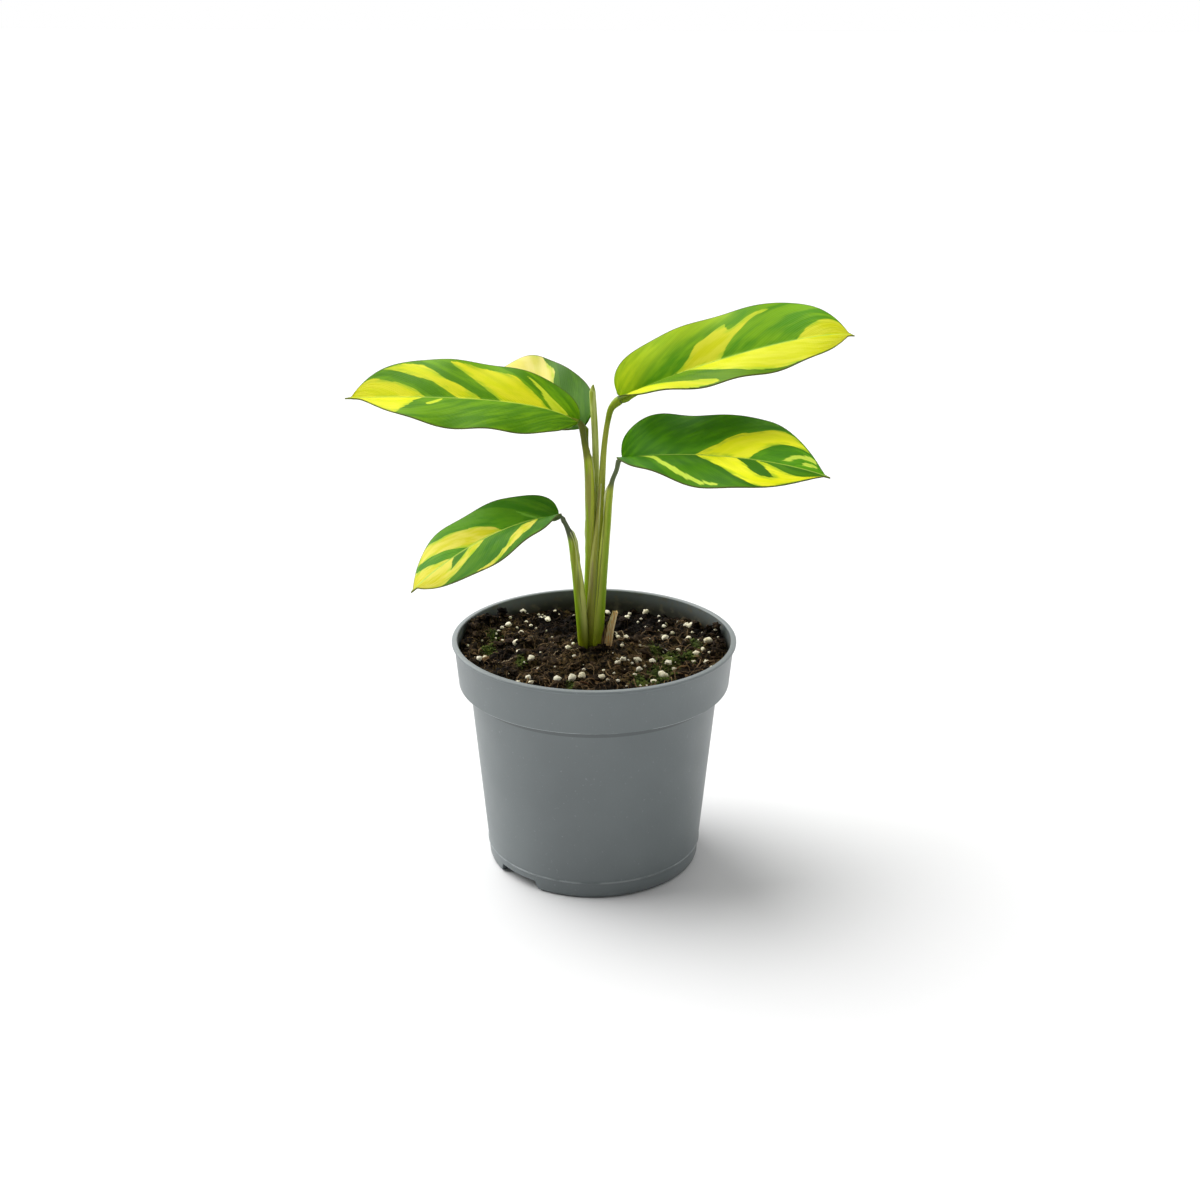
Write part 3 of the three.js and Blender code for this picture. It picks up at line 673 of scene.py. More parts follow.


# the stalks

# left and right: the colours of each stalk's left and right side as seen from the front, partly its own colour and
# partly painted light and shade
stalks = {
    "stalk_upper_left": {
        "path": ((-3.5, 7.2, 84.3), (-3.3, 6.9, 96), (-1.9, 7, 132), (-1.7, 6.6, 158), (-2.7, 5.4, 175),
                 (-4.5, 3.4, 185)),
        "radius": (1.8, 2.0, 2.0, 2.3, 1.75, 1.15, 1.4, 1.2), "carries": "leaf_upper_left",
        "sheathTop": 179, "opens": 30, "wing": (0.5, 172), "spread": (0, 0.22),
        "left": "#94b414", "right": "#c0cc48", "stem": "#747b20", "joint": "#5c6418", "stripe": "#a2a248"},
    "stalk_upper_right": {
        "path": ((-0.2, 5.6, 84.3), (-0.6, 4.1, 96), (0.7, 3.9, 132), (2.7, 5, 158), (3.9, 6.2, 180),
                 (5.3, 7.5, 190.5), (6.9, 8, 196.5)),
        "radius": (2.4, 3.0, 2.3, 1.5, 1.2, 1.15, 1.4, 2.05, 1.85), "carries": "leaf_upper_right",
        "sheathTop": 166, "opens": 205, "wing": (0.3, 160), "spread": (180, 0.2),
        "left": "#a3a548", "right": "#aab43c", "stem": "#a6b040", "joint": "#84991c", "stripe": "#a09a5c"},
    "stalk_lower_right": {
        "path": ((0.9, 2.4, 84.3), (1.5, 2.1, 96), (3.7, 2.5, 132), (5.1, 2.2, 150), (6.1, 2.1, 161),
                 (7.3, 1.7, 167.5), (9.1, 0.9, 172.5)),
        "radius": (2.0, 2.35, 2.15, 1.9, 1.55, 1.0, 0.95, 1.15, 1.0), "carries": "leaf_lower_right",
        "sheathTop": 167.5, "opens": 165, "wing": (1.3, 163), "spread": (180, 0.15),
        "left": "#c6d354", "right": "#86a616", "stem": "#67744a", "joint": "#5f6c48", "stripe": "#a5b03a"},
    "stalk_lower_left": {
        "path": ((-3.7, 3.2, 84.3), (-4.5, 3, 96), (-6.4, 1.7, 120), (-8.0, 0.2, 134), (-9.6, -1.6, 144),
                 (-11.6, -3.8, 150.2), (-12.9, -5.2, 153.2)),
        "radius": (2.0, 2.4, 2.35, 2.0, 1.5, 0.95, 1.1, 1.15, 0.95), "carries": "leaf_lower_left",
        "sheathTop": 147.5, "opens": 350, "wing": (1.3, 139), "spread": (0, 0.3),
        "left": "#90b01c", "right": "#d8e07c", "stem": "#5d6746", "joint": "#586146", "stripe": "#9dab34"},
    "stalk_back": {
        "path": ((-2.2, 10.9, 84.3), (-2.0, 10.2, 96), (-1.9, 10.6, 132), (-2.5, 10.6, 158), (-3.1, 9.6, 174),
                 (-3.7, 8.4, 183)),
        "radius": (1.6, 1.8, 1.5, 1.2, 1.1, 1.2, 1.3, 1), "carries": "leaf_back",
        "sheathTop": 150, "opens": 270, "wing": (0.7, 142), "spread": (270, 0.2),
        "left": "#959e34", "right": "#9aa03c", "stem": "#7a8a22", "joint": "#6a7a18", "stripe": "#8a8048"},
}
runIn = (1.2, 0.3)  # the last two points, back along the midrib from its base
wingFoot, wingThickness = 108, 0.16


def passing(first, second, low, high, t):  # first at low, second at high
    return first * ((high - t) / (high - low)) + second * ((t - low) / (high - low))


def smoothPath(points, count):
    # places, headings and shares of the point list, evenly along a centripetal curve through the points
    points = [Vector(point) for point in points]
    ends = [points[0] * 2 - points[1]] + points + [points[-1] * 2 - points[-2]]
    dense = []
    for index in range(len(points) - 1):
        p0, p1, p2, p3 = ends[index:index + 4]
        t1 = (p1 - p0).length ** 0.5
        t2 = t1 + (p2 - p1).length ** 0.5
        t3 = t2 + (p3 - p2).length ** 0.5
        for step in range(24):
            t = t1 + (t2 - t1) * step / 24
            a1, a2, a3 = passing(p0, p1, 0, t1, t), passing(p1, p2, t1, t2, t), passing(p2, p3, t2, t3, t)
            b1, b2 = passing(a1, a2, 0, t2, t), passing(a2, a3, t1, t3, t)
            dense.append((passing(b1, b2, t1, t2, t), index + step / 24))
    dense.append((points[-1], len(points) - 1.0))
    lengths = [0.0]
    for (here, _), (ahead, _) in zip(dense, dense[1:]):
        lengths.append(lengths[-1] + (ahead - here).length)
    path = []
    for step in range(count):
        want = lengths[-1] * step / (count - 1)
        low = min(max(np.searchsorted(lengths, want) - 1, 0), len(dense) - 2)
        share = (want - lengths[low]) / (lengths[low + 1] - lengths[low])
        (here, at), (ahead, atNext) = dense[low], dense[low + 1]
        path.append((here.lerp(ahead, share), (ahead - here).normalized(), at + (atNext - at) * share))
    return path


def along(values, at):  # a value from a list, between its entries
    low = min(int(at), len(values) - 2)
    return values[low] + (values[low + 1] - values[low]) * (at - low)


def eased(value, low, high):  # 0 below low, 1 above high
    share = min(1, max(0, (value - low) / (high - low)))
    return share * share * (3 - 2 * share)


def aroundPath(centre, heading, angle, reach):  # a place beside the path: 0 is to the right, 90 to the back
    front = (Vector((0, -1, 0)) - heading * heading.dot(Vector((0, -1, 0)))).normalized()
    right = heading.cross(front)
    return centre + right * (cos(angle) * reach) - front * (sin(angle) * reach)


def sweep(name, points, section, sides=28, stepLength=1.5):
    # a grid wrapped round a path: section(place, at, angle) gives the distance from the middle
    length = sum((Vector(b) - Vector(a)).length for a, b in zip(points, points[1:]))
    steps = max(8, int(length / stepLength))
    piece = gridPiece(steps, sides)
    piece.name = name
    path = smoothPath(points, steps + 1)
    around = []
    for vertex in piece.data.vertices:
        angle = (vertex.co.y + 1) * pi
        centre, heading, at = path[round((vertex.co.x + 1) / 2 * steps)]
        vertex.co = aroundPath(centre, heading, angle, section(centre, at, angle)) * mm
        around.append((cos(angle), sin(angle), at))
    store(piece.data, "around", around)
    setMode("EDIT")
    bpy.ops.mesh.select_all(action="SELECT")
    bpy.ops.mesh.remove_doubles(threshold=0.01 * mm)
    bpy.ops.mesh.select_all(action="DESELECT")
    bpy.ops.mesh.select_non_manifold()
    bpy.ops.mesh.fill()
    facesOutward()
    return piece


def stalkPath(stalk):
    leaf = leaves[stalk["carries"]]
    base, heading = Vector(leaf["midrib"][0]), bezierHeading(leaf["midrib"], 0)
    return list(stalk["path"]) + [tuple(base - heading * length) for length in runIn]


def stalkReach(stalk, centre, at, angle):
    # the sheath is wider than the stem that it carries, hollowed where it opens, spread to one side, and it
    # draws in towards the soil
    top = stalk["sheathTop"]
    sheath = 1 - eased(centre.z, top - 12, top)
    facing = max(0, cos(angle - radians(stalk["opens"])))
    toward, spread = stalk["spread"]
    low = 1 - eased(centre.z, 122, top - 4)
    wide = spread * low * max(0, cos(angle - radians(toward))) ** 2
    rib = 0.009 * cos(angle * 11 + 1.3) * sheath
    foot = 0.86 + 0.14 * eased(centre.z, 90, 98)
    return along(stalk["radius"], at) * foot * (1 - 0.3 * sheath * facing ** 4 + wide + rib)


def sheathWing(stalk, side):
    # the thin pale edge of the sheath, a ribbon that flares at its top
    top = stalk["sheathTop"]
    path = [entry for entry in smoothPath(stalkPath(stalk), 170) if wingFoot < entry[0].z < top]
    width, flareFrom = stalk["wing"]
    ribbon = gridPiece(len(path) - 1, 5)
    pale = []
    for vertex in ribbon.data.vertices:
        centre, heading, at = path[round((vertex.co.x + 1) / 2 * (len(path) - 1))]
        out = (vertex.co.y + 1) / 2
        rise = eased(centre.z, flareFrom - 24, flareFrom + 2)
        out *= eased(centre.z, 106, 122)
        end = 1 - eased(centre.z, top - 3.5, top) * 0.85
        angle = radians(stalk["opens"] + side * (46 + 22 * (1 - rise))) + side * out * 0.25
        reach = stalkReach(stalk, centre, at, angle) * 0.96
        reach += out * (0.25 + width * rise) * end * (1 + 0.12 * sin(centre.z * 0.9 + side))
        vertex.co = aroundPath(centre, heading, angle, reach) * mm
        pale.append(eased(centre.z, top - 24, top - 6))
    store(ribbon.data, "pale", pale)
    applyModifier(ribbon, "SOLIDIFY", thickness=wingThickness * mm, offset=0)
    return ribbon


def stalkMaterial(name, stalk):
    # Living stalk tissue: smooth and finely ribbed lengthways, one side lighter than the other, partly its own
    # colour and partly painted light and shade, the stem above the sheath darker, with a thick dull joint under the
    # blade
    newMaterial(f"living stalk skin, {name[6:].replace('_', ' ')}")
    height = axisOf(objectPlace(), "Z")
    drawnOut = objectPlace(0.03)
    streak = cloudy(drawnOut, 1500.0)
    broad = cloudy(drawnOut, 520.0, 1.0)
    top = stalk["sheathTop"] * mm
    tip = leaves[stalk["carries"]]["midrib"][0][2] * mm
    # from the stalk's left side to its right as seen from the front: partly its own colour, partly painted light and
    # shade
    turned = calc("ADD", axisOf(stored("around", "Vector"), "X"),
                  calc("MULTIPLY_ADD", broad, 0.9, -0.45))
    bands = times(ramp(broad, 0.5, 0.62), ramp(height, 0.1, 0.125))
    tone = layered(mixColour(ramp(turned, -0.65, 0.45), stalk["left"], stalk["right"]),
                   (bands, stalk["stripe"]), (ramp(height, top - 0.005, top), stalk["stem"]),
                   (ramp(height, tip - 0.013, tip - 0.007), stalk["joint"]),
                   (ramp(height, 0.108, 0.094), "#94a018"))
    tone = mixColour(1.0, tone, spanned(streak, 0.92, 1.12), "MULTIPLY")
    return finishMaterial(tone, 0.4, streak, 0.2, 0.0002, 0.25, 1.42)


def sheathEdgeMaterial():
    # Dry sheath edge: papery, pale and dull, greener and thicker lower down
    newMaterial("papery sheath edge")
    streak = cloudy(objectPlace(0.05), 1200.0)
    tone = mixColour(stored("pale"), mixColour(streak, "#8b9a30", "#9aa63e"), mixColour(streak, "#e2e7b4", "#ccd47c"))
    return finishMaterial(tone, 0.55)


def makeStalk(name, stalk, edgeMaterial):
    tube = sweep(name + "_tube", stalkPath(stalk), lambda centre, at, angle: stalkReach(stalk, centre, at, angle))
    wings = [sheathWing(stalk, side) for side in (-1, 1)]
    materials = stalkMaterial(name, stalk), edgeMaterial
    addMaterials(tube, materials)
    for wing in wings:
        addMaterials(wing, materials, 1)
    finish(joinPieces([tube] + wings, name + "_body"), name, 50)


sheathEdge = sheathEdgeMaterial()
for stalkName, stalkShape in stalks.items():
    makeStalk(stalkName, stalkShape, sheathEdge)
print("stalks done")


# the rolled new leaf

spear = {"path": ((1.2, 9.8, 84.3), (1.2, 9.4, 96), (1.3, 8.4, 132), (0.9, 8.4, 158), (0.3, 8.6, 184),
                  (-0.5, 8.2, 198), (-0.8, 8, 203.4), (-0.6, 8, 206)),
         "radius": (1.4, 1.6, 1.6, 1.45, 1.45, 1.45, 1.35, 0.3), "lap": 0.26, "turnPerMm": 0.012}


def makeSpear():
    # its outer edge laps over the roll, and the lap winds slowly round it
    def section(centre, at, angle):
        turned = (angle - 5.2 - (centre.z - 170) * spear["turnPerMm"]) % (2 * pi)
        return along(spear["radius"], at) * (0.88 + spear["lap"] * (turned / (2 * pi)) ** 1.5)

    # Young leaf tissue, still rolled: light yellow-green and silky, with fine lengthways veins and a paler edge
    newMaterial("young rolled leaf tissue")
    height = axisOf(objectPlace(), "Z")
    drawnOut = objectPlace(0.02)
    streak = cloudy(drawnOut, 1800.0)
    broad = cloudy(drawnOut, 520.0)
    tone = layered(mixColour(ramp(streak, 0.3, 0.7), "#a9ba48", "#d6e084"),
                   (ramp(broad, 0.5, 0.6), "#9aab34"), (ramp(height, 0.172, 0.14), "#8f9a40"),
                   (ramp(height, 0.2032, 0.2055), "#8e9838"))
    finish(sweep("rolled_new_leaf_spear", spear["path"], section, sides=44), "rolled_new_leaf", 40,
           finishMaterial(tone, 0.4, streak, 0.2, 0.0002, 0.25))


makeSpear()


# the stub of an old stalk

stub = {"path": ((4.7, 2.6, 84.3), (5.0, 2.2, 96), (6.9, 1.9, 103.5), (8.8, 1.7, 110.5)),
        "radius": (1.6, 1.9, 1.75, 1.25), "opens": 2.5,
        "scrapPath": ((4.1, 1.2, 90), (4.2, 0.9, 97.5), (4.8, 1.1, 102), (6, 1.5, 106)),
        "scrapRadius": (1.5, 1.4, 0.9, 0.25), "tornFrom": 108.5}


def dryMaterial(name, dark, light, foot, scale):
    newMaterial(name)
    fibre = cloudy(objectPlace(0.16), scale, 4.0)
    height = axisOf(objectPlace(), "Z")
    tone = layered(mixColour(ramp(fibre, 0.36, 0.62), dark, light), (ramp(height, 0.099, 0.093), foot))
    return finishMaterial(tone, 0.75, fibre, 0.7, 0.0003)


def makeStub():
    # a dry shell that has curled open, torn at its top, with a darker scrap of sheath beside it
    def shellSection(centre, at, angle):
        facing = max(0, cos(angle - stub["opens"]))
        crease = 0.1 * rough((cos(angle) * 3, sin(angle) * 3, centre.z * 0.16), 1.1)
        flute = 0.05 * cos(angle * 7)
        return along(stub["radius"], at) * (1 - 0.5 * facing ** 2 + crease + flute)

    def scrapSection(centre, at, angle):
        flat = 0.35 + 0.65 * abs(cos(angle - 0.4))
        return along(stub["scrapRadius"], at) * flat * (1 + 0.25 * rough((angle * 2, centre.z * 0.5, 3), 1))

    shell = sweep("old_stalk_shell", stub["path"], shellSection, sides=36, stepLength=0.6)
    for vertex in shell.data.vertices:
        if vertex.co.z > stub["tornFrom"] * mm:
            vertex.co.z += (0.9 * rough((vertex.co.x / mm * 2.5, vertex.co.y / mm * 2.5, 0), 1.3, 5) - 0.2) * mm
    scrap = sweep("old_sheath_scrap", stub["scrapPath"], scrapSection, sides=24, stepLength=0.6)
    # Dead stalk tissue: dry and fibrous, tan with brown lengthways fibres. The scrap has rotted dark.
    materials = (dryMaterial("dry dead stalk fibre", "#f2c274", "#ffecb8", "#c89a60", 1500.0),
                 dryMaterial("rotted sheath fibre", "#3a2716", "#a08050", "#2c1c10", 1100.0))
    addMaterials(shell, materials)
    addMaterials(scrap, materials, 1)
    finish(joinPieces([shell, scrap], "old_stalk_remains"), "old_stalk_stub", 60)


makeStub()
print("new leaf and stub done")


# the soil and what lies on it

soil = {"edgeHeight": 91.5, "mound": 3.0, "moundMiddle": 4, "moundWidths": (26, 24), "reach": 55, "radius": 56.2,
        "steps": 260, "floor": 6.4, "belowBand": (50.9, 44),
        # clumps that lean on the wall at the left and the right: direction in degrees, spread, height
        "banks": ((155, 22, 6.0), (17, 14, 2.2))}


def soilHeight(x, y):  # the large form of the surface, in mm
    radius = hypot(x, y)
    across, deep = soil["moundWidths"]
    mound = soil["mound"] * exp(-((x / across) ** 2 + ((y - soil["moundMiddle"]) / deep) ** 2))
    side = (abs(x) / max(radius, 0.1)) ** 3 * max(0, radius / soil["reach"] - 0.55) * 7
    turn = math.degrees(math.atan2(y, x))
    bank = sum(height * exp(-((turn - middle) / spread) ** 2) for middle, spread, height in soil["banks"])
    side += bank * max(0, radius / soil["reach"] - 0.82) * 5.5
    uneven = 1.1 * sin(x * 0.31 + 1.3) * sin(y * 0.27 + 0.4) + 0.8 * sin(x * 0.63 - y * 0.52)
    return soil["edgeHeight"] - 1 + mound + side + uneven


def soilSurface(x, y):  # with its crumbs and hollows
    hollows = 2.3 * rough((x, y, 0), 8.5, 3) + 1.2 * rough((x, y, 9), 3.4, 11) + 0.6 * rough((x, y, 5), 1.7, 4)
    ridges = 1.3 * abs(rough((x * 0.8 + y * 0.6, y * 1.5, 20), 2.9, 8)) + 0.6 * abs(rough((y, x, 2), 1.3, 6))
    held = eased(hypot(x - 0.5, y - 5), 6, 14)  # even round the stalks
    return soilHeight(x, y) + (hollows - ridges) * (0.25 + 0.75 * held) + 0.3 * rough((x, y, 4), 0.8, 2) + 0.5


def onSoil(pixelX, pixelY):  # the place on the soil that a pixel of the photograph shows, in mm
    turn = cameraObject.matrix_world.to_3x3()
    scale, middle = camera["sensor"] / camera["focal"] / camera["pixels"], camera["pixels"] / 2
    ray = turn @ Vector(((pixelX - middle) * scale, (middle - pixelY) * scale, -1))
    place = Vector(camera["place"])
    height = soil["edgeHeight"]
    for _ in range(12):
        spot = place + ray * ((height - place.z) / ray.z)
        height = 0.5 * (height + soilHeight(spot.x, spot.y) + 0.4)
    return spot.x, spot.y


# white grains that stand out in the photograph: pixel across, pixel down, width in pixels
perliteSeen = [
    (467, 643, 3.5), (507, 615, 1.8), (510, 620, 3), (538, 614, 3), (555, 615, 2.6), (559, 617, 2.2), (548, 623, 5),
    (544, 626, 2.6), (536, 627, 2.4), (517, 627, 2.4), (499, 633, 3), (495, 638, 3.2), (502, 642, 3.6),
    (482, 640, 2), (517, 646, 6), (519, 652, 5), (485, 657, 6), (479, 663, 4.5), (531, 660, 5.5), (524, 664, 2.6),
    (538, 668, 2.2), (528, 679, 5.2), (531, 684, 4), (518, 681, 2.6), (557, 678, 7), (572, 678, 7), (582, 680, 6),
    (584, 672, 3), (568, 646, 4.4), (573, 643.5, 2.8), (574, 656, 3.6), (552, 636, 2), (646, 611, 5.5),
    (628, 617, 4.5), (641, 619, 2.6), (660, 620, 3), (667, 623, 3), (682, 611, 2.4), (688, 619, 2.4),
    (665, 639, 6), (659, 643, 2.8), (689, 640, 6), (703, 638, 3.4), (708, 642, 7), (716, 643, 5.4), (703, 648, 4.4),
    (725, 637, 2), (622, 646, 3.8), (638, 644, 2.6), (640, 648, 2.6), (665, 652, 5.6), (678, 651, 3),
    (696, 655, 6.2), (638, 661, 7.4), (652, 663, 6), (668, 663, 6.4), (674, 666, 4), (694, 663, 4.4),
    (706, 662, 4.6), (632, 666, 3), (639, 670, 4.6), (645, 669, 2.2), (618, 658, 2.6), (618, 664, 4.6),
    (623, 664, 5.2), (625, 672, 3.4), (635, 674, 3.2), (662, 674, 8.5), (602, 676, 5), (618, 679, 3.2),
    (608, 682, 3.2), (654, 683, 4.6), (640, 684, 2.6), (614, 672, 2.4)]
mossSeen = [(654, 648, 8), (670, 660, 13), (660, 677, 13), (695, 645, 8), (494, 637, 8), (521, 663, 6),
            (488, 650, 7), (690, 658, 9), (640, 681, 8), (571, 684, 5)]
pixelSize = 0.42  # mm of the plant in one pixel of the photograph


def shadedDampAndMossy(place, speck, tone):
    # the peat is painted darker towards the back, as painted shade, and in large damp patches; algae and moss tint
    # the peat where it stays damp
    damp = cloudy(place, 42.0, 3.0)
    shadeAndDamp = ramp(calc("MULTIPLY_ADD", axisOf(place, "Y"), 3.6, damp), 0.46, 0.68)
    dark = mixColour(1.0, tone, "#68605a", "MULTIPLY")
    mossy = ramp(calc("MULTIPLY_ADD", speck, 1.4, stored("moss")), 1.1, 1.55)
    green = mixColour(ramp(damp, 0.4, 0.6), "#3d4a1c", "#6d7a34")
    return layered(tone, (shadeAndDamp, dark), (mossy, green))


def addMoss(piece):  # how mossy each point is, 1 in the middle of a mossy spot
    places = np.array([vertex.co[:2] for vertex in piece.data.vertices]) / mm
    moss = np.zeros(len(places))
    for px, py, width in mossSeen:
        spot = np.array(onSoil(px, py))
        away = np.linalg.norm((places - spot) * (1, 0.55), axis=1) / (width * pixelSize * 1.5)
        moss = np.maximum(moss, 1 - away)
    store(piece.data, "moss", np.clip(moss, 0, 1))


def peatMaterial():
    # Moist peat and composted bark: nearly black crumbs with lighter, drier edges and olive brown dust
    newMaterial("moist peat and bark")
    place = objectPlace()
    crumb = cloudy(place, 700.0, 6.0)
    cells = addNode("TexVoronoi", None, {"Vector": place, "Scale": 480.0}), "Distance"
    dusty = mixColour(ramp(crumb, 0.4, 0.62), "#1c150d", "#6e5a38")
    tone = mixColour(ramp(cloudy(place, 60.0, 3.0), 0.47, 0.62),
                     mixColour(ramp(crumb, 0.38, 0.7), "#0e0b08", "#3a2c1d"), dusty)
    return finishMaterial(shadedDampAndMossy(place, crumb, tone), 0.92, calc("SUBTRACT", crumb, cells), 1.0, 0.0009, 0.12)


def makeSoilBody():
    piece = gridPiece(soil["steps"], soil["steps"])
    for vertex in piece.data.vertices:
        x, y = vertex.co.x, vertex.co.y
        flatX = x * sqrt(1 - y * y / 2) * soil["radius"]
        flatY = y * sqrt(1 - x * x / 2) * soil["radius"]
        vertex.co = Vector((flatX, flatY, soilSurface(flatX, flatY))) * mm
    setMode("EDIT")
    bpy.ops.mesh.select_all(action="DESELECT")
    bpy.ops.mesh.select_non_manifold()
    low = pot["bandLowHeight"] + pot["wall"] + 0.3
    radius = soil["radius"]
    narrow, foot = soil["belowBand"]
    for newRadius, newHeight in ((pot["bandLowRadius"] - pot["wall"] - 0.35, low), (narrow, low),
                                 (foot, soil["floor"])):
        bpy.ops.mesh.extrude_edges_move()
        bpy.ops.transform.resize(value=(newRadius / radius, newRadius / radius, 0.0001),
                                 center_override=(0, 0, newHeight * mm))
        radius = newRadius
    bpy.ops.mesh.fill()
    facesOutward()
    piece.name = "potting_soil"
    addMoss(piece)
    finish(piece, "soil", 70, peatMaterial())


def lumpShapes(count, detail, jag, seed):  # a few grain shapes as (places, faces), about 1 mm in radius
    shapes = []
    for index in range(count):
        deselectAll()
        bpy.ops.mesh.primitive_ico_sphere_add(subdivisions=detail, radius=1)
        grain = bpy.context.object
        places = np.array([vertex.co * (1 + jag * rough(vertex.co, 0.8, seed + index * 3.3)
                                        + 0.5 * jag * rough(vertex.co, 0.35, seed + index))
                           for vertex in grain.data.vertices])
        faces = np.array([polygon.vertices[:] for polygon in grain.data.polygons])
        bpy.data.objects.remove(grain)
        shapes.append((places, faces))
    return shapes


def meshPiece(name, places, faces, tints):
    mesh = bpy.data.meshes.new(name)
    mesh.from_pydata(places, [], faces)
    store(mesh, "tint", tints)
    piece = bpy.data.objects.new(name, mesh)
    bpy.context.scene.collection.objects.link(piece)
    keepOnly(piece)
    setMode("EDIT")
    facesOutward()
    addMoss(piece)
    return piece


def scatter(name, shapes, spots, seed):
    # one mesh of many turned and scaled copies; a spot is (x, y, z, size, flatness)
    places, faces, tints, start = [], [], [], 0
    for index, (x, y, z, size, flatness) in enumerate(spots):
        shape, sides = shapes[int(seeded(seed + index * 1.9) * len(shapes)) % len(shapes)]
        turn = Matrix.Rotation(seeded(seed + index * 2.3) * 6.28, 3, "Z")
        lean = Matrix.Rotation(seeded(seed + index * 4.1) * 0.9 - 0.45, 3, "X")
        stretch = Matrix.Diagonal((size * (0.85 + 0.4 * seeded(seed + index * 5.3)), size, size * flatness))
        places.append((shape @ np.array(turn @ lean @ stretch).T + np.array([x, y, z])) * mm)
        faces.append(sides + start)
        tints += [seeded(seed + index * 6.7)] * len(shape)
        start += len(shape)
    return meshPiece(name, np.concatenate(places).tolist(), np.concatenate(faces).tolist(), tints)


keptClear = ((-0.5, 6, 7.6), (5.6, 2, 2.4))  # place and radius of the stalks' bundle and of the stub
soilEdge, triesPerSpot = 55.6, 60


def clearOfStalks(x, y, margin):
    return all(hypot(x - middleX, y - middleY) > radius + margin for middleX, middleY, radius in keptClear)


def randomSpots(count, sizes, seed, sink, flatness, where=None):
    spots, index = [], 0
    while len(spots) < count and index < count * triesPerSpot:
        index += 1
        reach = soil["reach"] * sqrt(seeded(seed + index * 1.31))
        angle = 2 * pi * seeded(seed + index * 2.77)
        x, y = reach * cos(angle), reach * sin(angle)
        size = sizes[0] + (sizes[1] - sizes[0]) * seeded(seed + index * 3.17) ** 2
        if clearOfStalks(x, y, size) and reach <= soilEdge - size and (not where or where(x, y, index)):
            spots.append((x, y, soilSurface(x, y) + size * sink, size, flatness))
    return spots


def grainMaterial(name, colours, roughness, bumpScale, getsShadeAndMoss=True):
    newMaterial(name)
    place = objectPlace()
    speck = cloudy(place, bumpScale, 4.0)
    tone = layered(mixColour(stored("tint"), *colours[:2]), (ramp(speck, 0.52, 0.72), colours[2]))
    if getsShadeAndMoss:
        tone = shadedDampAndMossy(place, speck, tone)
    return finishMaterial(tone, roughness, speck, 0.6, 0.0003, 0.12)


# shape: how many shapes, their detail, jag and seed; material: name, two colours and the specks, roughness,
# relief scale, and whether it takes the painted shade, the damp patches and the moss
grains = {
    # Lumps of peat and composted bark, crumbly and dark
    "peat_clods": {"shape": (6, 3, 0.75, 2), "seed": 31, "smooth": 60,
                   "material": ("peat clod", ("#120d09", "#3a2c1e", "#6a563a"), 0.92, 700.0)},
    # Broken crumbs and bark dust, from nearly black to straw brown
    "peat_crumbs": {"shape": (5, 1, 0.8, 12), "seed": 61, "smooth": 30,
                    "material": ("bark crumb", ("#19120d", "#664e34", "#947a54"), 0.9, 1500.0)},
    # Expanded perlite: white, chalky and a little see-through, stained here and there by the peat
    "perlite_grains": {"shape": (6, 2, 0.5, 40), "seed": 77, "smooth": 60,
                       "material": ("expanded perlite", ("#fff8e2", "#f0e6c8", "#cbbd98"), 0.8, 900.0, False)},
    # Pine bark chips: flat flakes, brown with tan broken faces
    "bark_chips": {"shape": (5, 2, 0.7, 60), "seed": 17, "smooth": 25,
                   "material": ("pine bark chip", ("#2f2014", "#6e5436", "#1d140d"), 0.85, 900.0)},
    # Young moss and algae on wet peat: tiny soft cushions, olive to fresh green
    "moss_tufts": {"shape": (5, 1, 0.9, 80), "seed": 5, "smooth": None,
                   "material": ("young moss", ("#2a3814", "#606e30", "#1c280c"), 0.95, 1800.0, False)},
}
wallReach = 54  # how far out the grains seen in the photograph may lie, in mm


def clodSpots():
    clods = randomSpots(170, (0.8, 3.2), 21, 0.0, 0.7, lambda x, y, index: abs(x) > 30 or seeded(index * 9.1) < 0.5)
    for index in range(34):  # clumps that lean on the wall at the left and the right
        side = -1 if index % 2 else 1
        middle, span = (28, 34) if side < 0 else (8, 30)
        angle = radians(middle + span * (seeded(index * 2.1) - 0.5))
        reach, climb = 54.2 - 3 * seeded(index * 5.3), 3.6 * seeded(index * 7.9) ** 1.5
        x, y = side * cos(angle) * reach, sin(angle) * reach
        clods.append((x, y, soilHeight(x, y) + climb, 0.9 + 1.1 * seeded(index * 3.3), 0.9))
    for index in range(34):  # small clumps against the foot of the stalks, mostly in front
        angle = radians(165 + 225 * seeded(index * 4.9 + 0.7))
        reach = 1 + 0.3 * seeded(index * 6.1 + 0.2)
        x, y = -0.9 + 6.3 * cos(angle) * reach, 3.4 + 4.6 * sin(angle) * reach
        size = 0.55 + 0.75 * seeded(index * 2.7 + 0.4)
        clods.append((x, y, soilSurface(x, y) + size * 0.35, size, 0.8))
    return clods


def perliteSpots():
    white = []
    for pixelX, pixelY, width in perliteSeen:
        x, y = onSoil(pixelX, pixelY)
        reach = hypot(x, y)
        if reach > wallReach:
            x, y = x * wallReach / reach, y * wallReach / reach
        size = width * pixelSize / 2 * 1.22  # a grain looks smaller than it is, since part of it is sunk
        white.append((x, y, soilSurface(x, y) + size * 0.45, size, 0.85))
    white += randomSpots(70, (0.3, 0.75), 57, 0.4, 0.85)
    return white + randomSpots(45, (0.6, 1.5), 157, 0.4, 0.85, lambda x, y, index: y > 12)


def tuftSpots():
    middles = [(onSoil(px, py), width * pixelSize) for px, py, width in mossSeen]

    def mossy(x, y, index):
        return any(hypot(x - spot[0], (y - spot[1]) * 0.5) < 1.35 * width * seeded(index * 3.7) ** 0.6
                   for spot, width in middles)

    return randomSpots(1900, (0.25, 0.75), 131, 0.3, 0.7, mossy)


